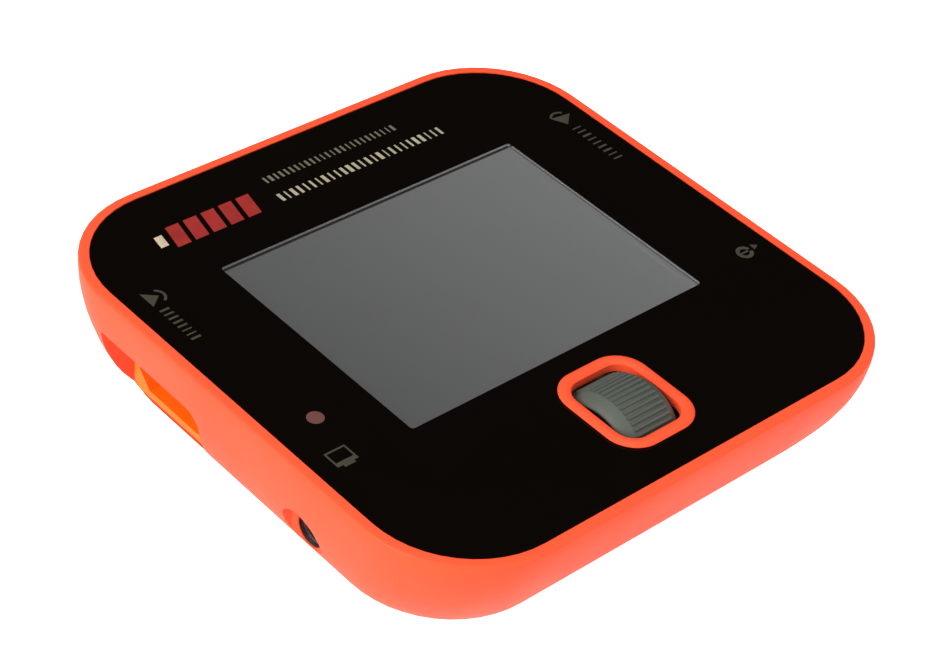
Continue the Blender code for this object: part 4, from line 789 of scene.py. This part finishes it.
def dash_row(name, material, start, turn, count, pitch, height, widths, seed):
    """Prints a row of dashes on the front, in millimetres and degrees."""
    low, high = mark_heights()
    values = {
        "Count": count,
        "Pitch": pitch * MM,
        "Dash Height": height * MM,
        "Least Width": widths[0] * MM,
        "Most Width": widths[1] * MM,
        "Thickness": PRINT_THICKNESS,
        "Seed": seed,
        "Start": (start[0] * MM, start[1] * MM, (low + high) / 2),
        "Turn": (0.0, 0.0, math.radians(turn)),
        "Material": material,
    }
    mesh = grown_mesh(name, dash_row_tree(), bpy.data.meshes.new(name + "_start"), values)
    show(name, mesh, material, "case")


def scaled_points(points):
    return [(x * MM, y * MM) for x, y in points]


def ring_band(centre, radius, width, start, end, steps=14):
    """A band along an arc, as one outline, in millimetres and degrees."""
    angles = [math.radians(start + (end - start) * i / steps) for i in range(steps + 1)]

    def arc(reach):
        return [(centre[0] + reach * math.cos(a), centre[1] + reach * math.sin(a)) for a in angles]

    return scaled_points(arc(radius + width / 2) + arc(radius - width / 2)[::-1])


def bar(x0, y0, x1, y1):
    return scaled_points([(x0, y0), (x1, y0), (x1, y1), (x0, y1)])


def frame_bars(x0, y0, x1, y1, width):
    """Four bars that draw a rectangle's outline."""
    return [
        bar(x0, y0, x1, y0 + width),
        bar(x0, y1 - width, x1, y1),
        bar(x0, y0 + width, x0 + width, y1 - width),
        bar(x1 - width, y0 + width, x1, y1 - width),
    ]


# ---------------------------------------------------------------------------------------------
# Operators


class CHARGER_OT_case(Operator):
    """Finish the housing, the ring round the wheel and the base cover"""

    bl_idname = "charger.case"
    bl_label = "Case"

    def execute(self, context):
        for node in ("housing", "wheel_bezel", "base_cover"):
            smooth_node(node)
        return {"FINISHED"}


class CHARGER_OT_front(Operator):
    """Finish the gloss front, the display under its window and the status light"""

    bl_idname = "charger.front"
    bl_label = "Front and display"

    def execute(self, context):
        for node in ("front_panel", "display_lens", "display_screen", "light_pipe"):
            smooth_node(node)
        return {"FINISHED"}


# A flank from its bore to its tread: half width and radius, each as a share of the wheel's own.
FLANK_SHARES = (
    (0.62, 0.44),
    (0.66, 0.50),
    (0.70, 0.60),
    (0.78, 0.68),
    (0.90, 0.735),
    (0.97, 0.765),
    (1.0, 0.795),
    (0.985, 0.825),
    (0.92, 0.870),
    (0.80, 0.925),
)
TREAD_SHARE = 0.65
TREAD_LIP = 0.10 * MM
TREAD_LIP_DEPTH = 0.05 * MM
TREAD_FLOOR_RISE = 0.02 * MM
TYRE_STEPS = 112
RIB_SMOOTH_ANGLE = math.radians(50)


class CHARGER_OT_wheel(Operator):
    """Build the ribbed scroll wheel with its dished flanks, and finish its hub and axle"""

    bl_idname = "charger.wheel"
    bl_label = "Scroll wheel"

    def execute(self, context):
        settings = context.scene.charger_wheel
        low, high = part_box("scroll_wheel")
        radius = (high.z - low.z) / 2
        half = (high.x - low.x) / 2
        tread = half * TREAD_SHARE
        material = finish("wheel_rubber")
        values = {
            "Ribs": settings.ribs,
            "Rib Radius": settings.rib_radius,
            "Rib Length": tread * 2,
            "Wheel Radius": radius,
            "Centre": tuple((low + high) / 2),
            "Material": material,
        }
        tyre = self.make_tyre(half, tread, radius, radius - settings.rib_radius)
        mesh = grown_mesh("wheel_tyre", ribbed_tree(), tyre, values)
        mesh.shade_smooth()
        mesh.set_sharp_from_angle(angle=RIB_SMOOTH_ANGLE)
        obj = show("wheel_tyre", mesh, material, body_of("scroll_wheel"))
        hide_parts("scroll_wheel")
        for node in ("wheel_hub", "wheel_axle", "wheel_cradle"):
            smooth_node(node)
        return {"FINISHED"}

    def make_tyre(self, half, tread, radius, floor_radius):
        """The tyre without its ribs: both flanks and the floor of the tread, turned round X."""
        profile = [(-half * across, radius * out) for across, out in FLANK_SHARES]
        profile.append((-tread - TREAD_LIP, floor_radius - TREAD_LIP_DEPTH))
        profile.append((-tread, floor_radius + TREAD_FLOOR_RISE))
        profile += [(-x, r) for x, r in reversed(profile)]
        bm = bmesh.new()
        angles = [2 * math.pi * i / TYRE_STEPS for i in range(TYRE_STEPS)]
        rings = [
            [bm.verts.new((x, r * math.cos(a), r * math.sin(a))) for a in angles]
            for x, r in profile
        ]
        for first, second in zip(rings, rings[1:] + rings[:1]):
            for i in range(TYRE_STEPS):
                j = (i + 1) % TYRE_STEPS
                bm.faces.new((first[i], first[j], second[j], second[i]))
        bmesh.ops.recalc_face_normals(bm, faces=bm.faces)
        return mesh_of("wheel_tyre_base", bm)


class CHARGER_OT_connectors(Operator):
    """Finish the power connectors, the balance socket and the data jack"""

    bl_idname = "charger.connectors"
    bl_label = "Connectors"

    def execute(self, context):
        for node in (
            "input_connector",
            "input_pin_1",
            "input_pin_2",
            "output_connector",
            "output_contact_1",
            "output_contact_2",
            "balance_socket",
            "balance_terminals",
            "data_jack",
            "jack_sleeve",
        ):
            smooth_node(node)
        return {"FINISHED"}


class CHARGER_OT_underside(Operator):
    """Finish the screws, the feet and the fan behind the grille"""

    bl_idname = "charger.underside"
    bl_label = "Screws, feet and fan"

    def execute(self, context):
        for i in range(1, 5):
            for kind in ("case_screw", "fan_screw", "foot"):
                smooth_node(f"{kind}_{i}")
        for node in ("fan_frame", "fan_rotor", "fan_shaft"):
            smooth_node(node)
        return {"FINISHED"}


class CHARGER_OT_inside(Operator):
    """Give each hidden piece the finish of its slot"""

    bl_idname = "charger.inside"
    bl_label = "Inside pieces"

    def execute(self, context):
        for name, obj in frame["nodes"].items():
            if obj.hide_render:
                continue
            obj.material_slots[0].link = "OBJECT"
            obj.material_slots[0].material = finish(SLOTS[name])
        return {"FINISHED"}


class CHARGER_OT_prints(Operator):
    """Print the port marks, the status mark, the battery mark and the rows of dashes"""

    bl_idname = "charger.prints"
    bl_label = "Printed marks"

    def execute(self, context):
        inks = context.scene.charger_print
        dim = printed_ink("ink_dim", tuple(inks.dim))
        middle = printed_ink("ink_middle", tuple(inks.middle))
        bright = printed_ink("ink_bright", tuple(inks.bright))
        accent = printed_ink("ink_accent", tuple(inks.accent))
        cream = printed_ink("ink_cream", tuple(inks.cream))
        self.port_marks(dim)
        self.status_mark(dim)
        self.battery_mark(accent, cream)
        dash_row("upper_dashes", middle, (-8.3, 32.6), 0, 26, 0.87, 1.25, (0.14, 0.46), 5)
        dash_row("lower_dashes", bright, (-8.9, 28.6), 0, 27, 1.05, 1.6, (0.18, 0.60), 12)
        return {"FINISHED"}

    def port_marks(self, ink):
        """An arrow in, an arrow out and a ring with a tap, each beside its port."""
        arrow_line = 0.35
        arrow_in = scaled_points([(-35.8, 19.7), (-34.0, 21.1), (-35.8, 22.6)])
        mark("input_mark", [arrow_in, ring_band((-34.5, 21.1), 1.25, arrow_line, -62, 62)], ink)
        arrow_out = scaled_points([(33.3, 22.2), (34.5, 20.0), (36.5, 21.8)])
        mark("output_mark", [arrow_out, ring_band((34.6, 21.6), 1.35, arrow_line, 40, 150)], ink)
        dash_row("input_dashes", ink, (-35.05, 18.5), -90, 8, 0.90, 1.4, (0.16, 0.36), 3)
        dash_row("output_dashes", ink, (34.9, 18.7), -90, 9, 1.02, 1.5, (0.16, 0.38), 8)
        ring = ring_band((34.0, -14.1), 0.95, 0.55, 12, 348, 22)
        tap = scaled_points([(35.6, -14.4), (36.6, -13.95), (35.7, -13.3)])
        mark("balance_mark", [ring, bar(33.4, -14.25, 34.6, -13.95), tap], ink)

    def status_mark(self, ink):
        """A cell with a solid foot and a stub under it."""
        left, right, foot = -35.8, -32.7, -15.1
        cell = frame_bars(left, foot, right, -12.85, 0.24)
        cell.append(bar(left, -15.5, right, foot))
        cell.append(bar(-35.0, -15.9, -33.4, -15.5))
        mark("status_mark", cell, ink)

    def battery_mark(self, accent, cream):
        """Five leaning cells in a row, with a cap at the left end."""
        low, high = 27.5, 31.6
        lean, width, pitch = 0.9, 2.05, 2.8
        first_cell, cell_count = -26.2, 5
        cap_left, cap_width, cap_lean = -28.1, 1.2, 0.4
        cap_low, cap_high = low + 1.0, high - 0.9

        def leaning(left, across, bottom, top, shift):
            corners = [(left, bottom), (left + across, bottom)]
            corners += [(left + across + shift, top), (left + shift, top)]
            return scaled_points(corners)

        cells = [
            leaning(first_cell + i * pitch, width, low, high, lean) for i in range(cell_count)
        ]
        mark("battery_cells", cells, accent)
        cap = leaning(cap_left, cap_width, cap_low, cap_high, cap_lean)
        mark("battery_cap", [cap], cream)


class CHARGER_OT_stage(Operator):
    """Set the floor, the lights, the backdrop and the camera"""

    bl_idname = "charger.stage"
    bl_label = "Stage"

    def execute(self, context):
        settings = context.scene.charger_stage
        context.scene.view_settings.view_transform = "Standard"
        self.make_floor(settings)
        self.make_lights(context, settings)
        self.make_world(context)
        self.make_camera(context, settings)
        return {"FINISHED"}

    def make_floor(self, settings):
        """A plain sheet that glows a little, most of all to the camera, so that it stays white."""
        reach = 3.0
        glow, camera_glow = 0.12, 0.70
        cloud_scale, cloud_dark = 6.0, 0.99
        bm = bmesh.new()
        corners = ((-reach, -reach), (reach, -reach), (reach, reach), (-reach, reach))
        bm.faces.new([bm.verts.new((x, y, 0.0)) for x, y in corners])
        mesh = mesh_of("floor", bm, smooth=False)
        material, s, shader, vector = new_material("floor_paint")
        tone = tuple(settings.floor_colour)
        cloud = s.remap(s.noise(vector, cloud_scale), *NOISE_SPREAD, 0.0, 1.0)
        s.join(s.mix(cloud, scaled(tone, cloud_dark), tone), shader.inputs["Base Color"])
        shader.inputs["Roughness"].default_value = 0.9
        shader.inputs["Emission Color"].default_value = (1.0, 1.0, 1.0, 1.0)
        seen = s.add("ShaderNodeLightPath").outputs["Is Camera Ray"]
        strength = s.math("ADD", s.math("MULTIPLY", seen, camera_glow), glow)
        s.join(strength, shader.inputs["Emission Strength"])
        mesh.materials.append(material)
        floor = bpy.data.objects.new("floor", mesh)
        bpy.context.scene.collection.objects.link(floor)

    def make_lights(self, context, settings):
        """Three soft squares of light, from the left, the front and above."""
        key_share, top_share = 1.9, 0.7
        middle_of_case = Vector((0, 0, 0.015))
        key, top = settings.key_power * key_share, settings.key_power * top_share
        lights = (
            ("key_light", (-0.75, 0.10, 0.45), 0.55, key, (1.0, 0.99, 0.96)),
            ("front_light", (0.15, -0.75, 0.35), 0.45, settings.fill_power, (1.0, 0.98, 0.96)),
            ("top_light", (0.05, -0.05, 0.95), 0.50, top, (1.0, 1.0, 1.0)),
        )
        for name, place, size, power, colour in lights:
            data = bpy.data.lights.new(name, "AREA")
            data.shape = "SQUARE"
            data.size = size
            data.energy = power
            data.color = colour
            light = bpy.data.objects.new(name, data)
            light.location = place
            aim = middle_of_case - Vector(place)
            light.rotation_euler = aim.to_track_quat("-Z", "Y").to_euler()
            context.scene.collection.objects.link(light)

    def make_world(self, context):
        """White to the camera and a dim room to all else, so that the gloss front stays dark."""
        room_share, reflected_share = 0.40, 0.012
        world = bpy.data.worlds.new("studio")
        world.use_nodes = True
        context.scene.world = world
        s = Shading(world.node_tree)
        background = world.node_tree.nodes["Background"]
        path = s.add("ShaderNodeLightPath")
        diffuse = s.math("MULTIPLY", path.outputs["Is Diffuse Ray"], room_share)
        seen = s.math("ADD", path.outputs["Is Camera Ray"], diffuse)
        background.inputs["Color"].default_value = (1.0, 1.0, 1.0, 1.0)
        s.join(s.math("ADD", seen, reflected_share), background.inputs["Strength"])

    def make_camera(self, context, settings):
        """A long lens above the corner between the input side and the wheel's edge."""
        eye = Vector((-0.18577, -0.17349, 0.22943))
        aim = Vector((-0.00658, -0.00655, 0.03130))
        roll = math.radians(8.063)
        forward = (aim - eye).normalized()
        level = forward.cross(Vector((0, 0, 1))).normalized()
        right = level * math.cos(roll) + level.cross(forward) * math.sin(roll)
        up = right.cross(forward)
        data = bpy.data.cameras.new("camera")
        data.lens = settings.lens
        data.sensor_width = 36.0
        data.shift_x = -0.0013
        data.shift_y = 0.0006
        data.clip_start = 0.01
        data.clip_end = 20.0
        camera = bpy.data.objects.new("camera", data)
        turn = Matrix((right, up, -forward)).transposed().to_4x4()
        camera.matrix_world = Matrix.Translation(eye) @ turn
        context.scene.collection.objects.link(camera)
        context.scene.camera = camera


class CHARGER_PT_finishes(Panel):
    """Lists the charger's pieces and their settings"""

    bl_label = "Balance battery charger"
    bl_idname = "CHARGER_PT_finishes"
    bl_space_type = "VIEW_3D"
    bl_region_type = "UI"
    bl_category = "Charger"

    def draw(self, context):
        layout = self.layout
        for pointer, operator in STEPS:
            row = layout.box()
            row.operator(operator)
            if not pointer:
                continue
            settings = getattr(context.scene, pointer)
            for key in settings.bl_rna.properties.keys():
                if key not in ("rna_type", "name"):
                    row.prop(settings, key)


SETTINGS = (
    ("charger_case", ChargerCaseSettings),
    ("charger_panel", ChargerPanelSettings),
    ("charger_wheel", ChargerWheelSettings),
    ("charger_print", ChargerPrintSettings),
    ("charger_stage", ChargerStageSettings),
)
OPERATORS = (
    CHARGER_OT_stage,
    CHARGER_OT_case,
    CHARGER_OT_front,
    CHARGER_OT_wheel,
    CHARGER_OT_connectors,
    CHARGER_OT_underside,
    CHARGER_OT_inside,
    CHARGER_OT_prints,
)
STEPS = (
    ("charger_stage", "charger.stage"),
    ("charger_case", "charger.case"),
    ("charger_panel", "charger.front"),
    ("charger_wheel", "charger.wheel"),
    (None, "charger.connectors"),
    (None, "charger.underside"),
    (None, "charger.inside"),
    ("charger_print", "charger.prints"),
)


def register():
    for name, settings in SETTINGS:
        bpy.utils.register_class(settings)
        setattr(bpy.types.Scene, name, PointerProperty(type=settings))
    for operator in OPERATORS:
        bpy.utils.register_class(operator)
    bpy.utils.register_class(CHARGER_PT_finishes)


def unregister():
    bpy.utils.unregister_class(CHARGER_PT_finishes)
    for operator in reversed(OPERATORS):
        bpy.utils.unregister_class(operator)
    for name, settings in reversed(SETTINGS):
        delattr(bpy.types.Scene, name)
        bpy.utils.unregister_class(settings)


def main():
    for obj in list(bpy.data.objects):
        if obj.name in ("Cube", "Light", "Camera"):
            bpy.data.objects.remove(obj)
    register()
    for _, operator in STEPS:
        group, step = operator.split(".")
        getattr(getattr(bpy.ops, group), step)()


if __name__ == "__main__":
    main()
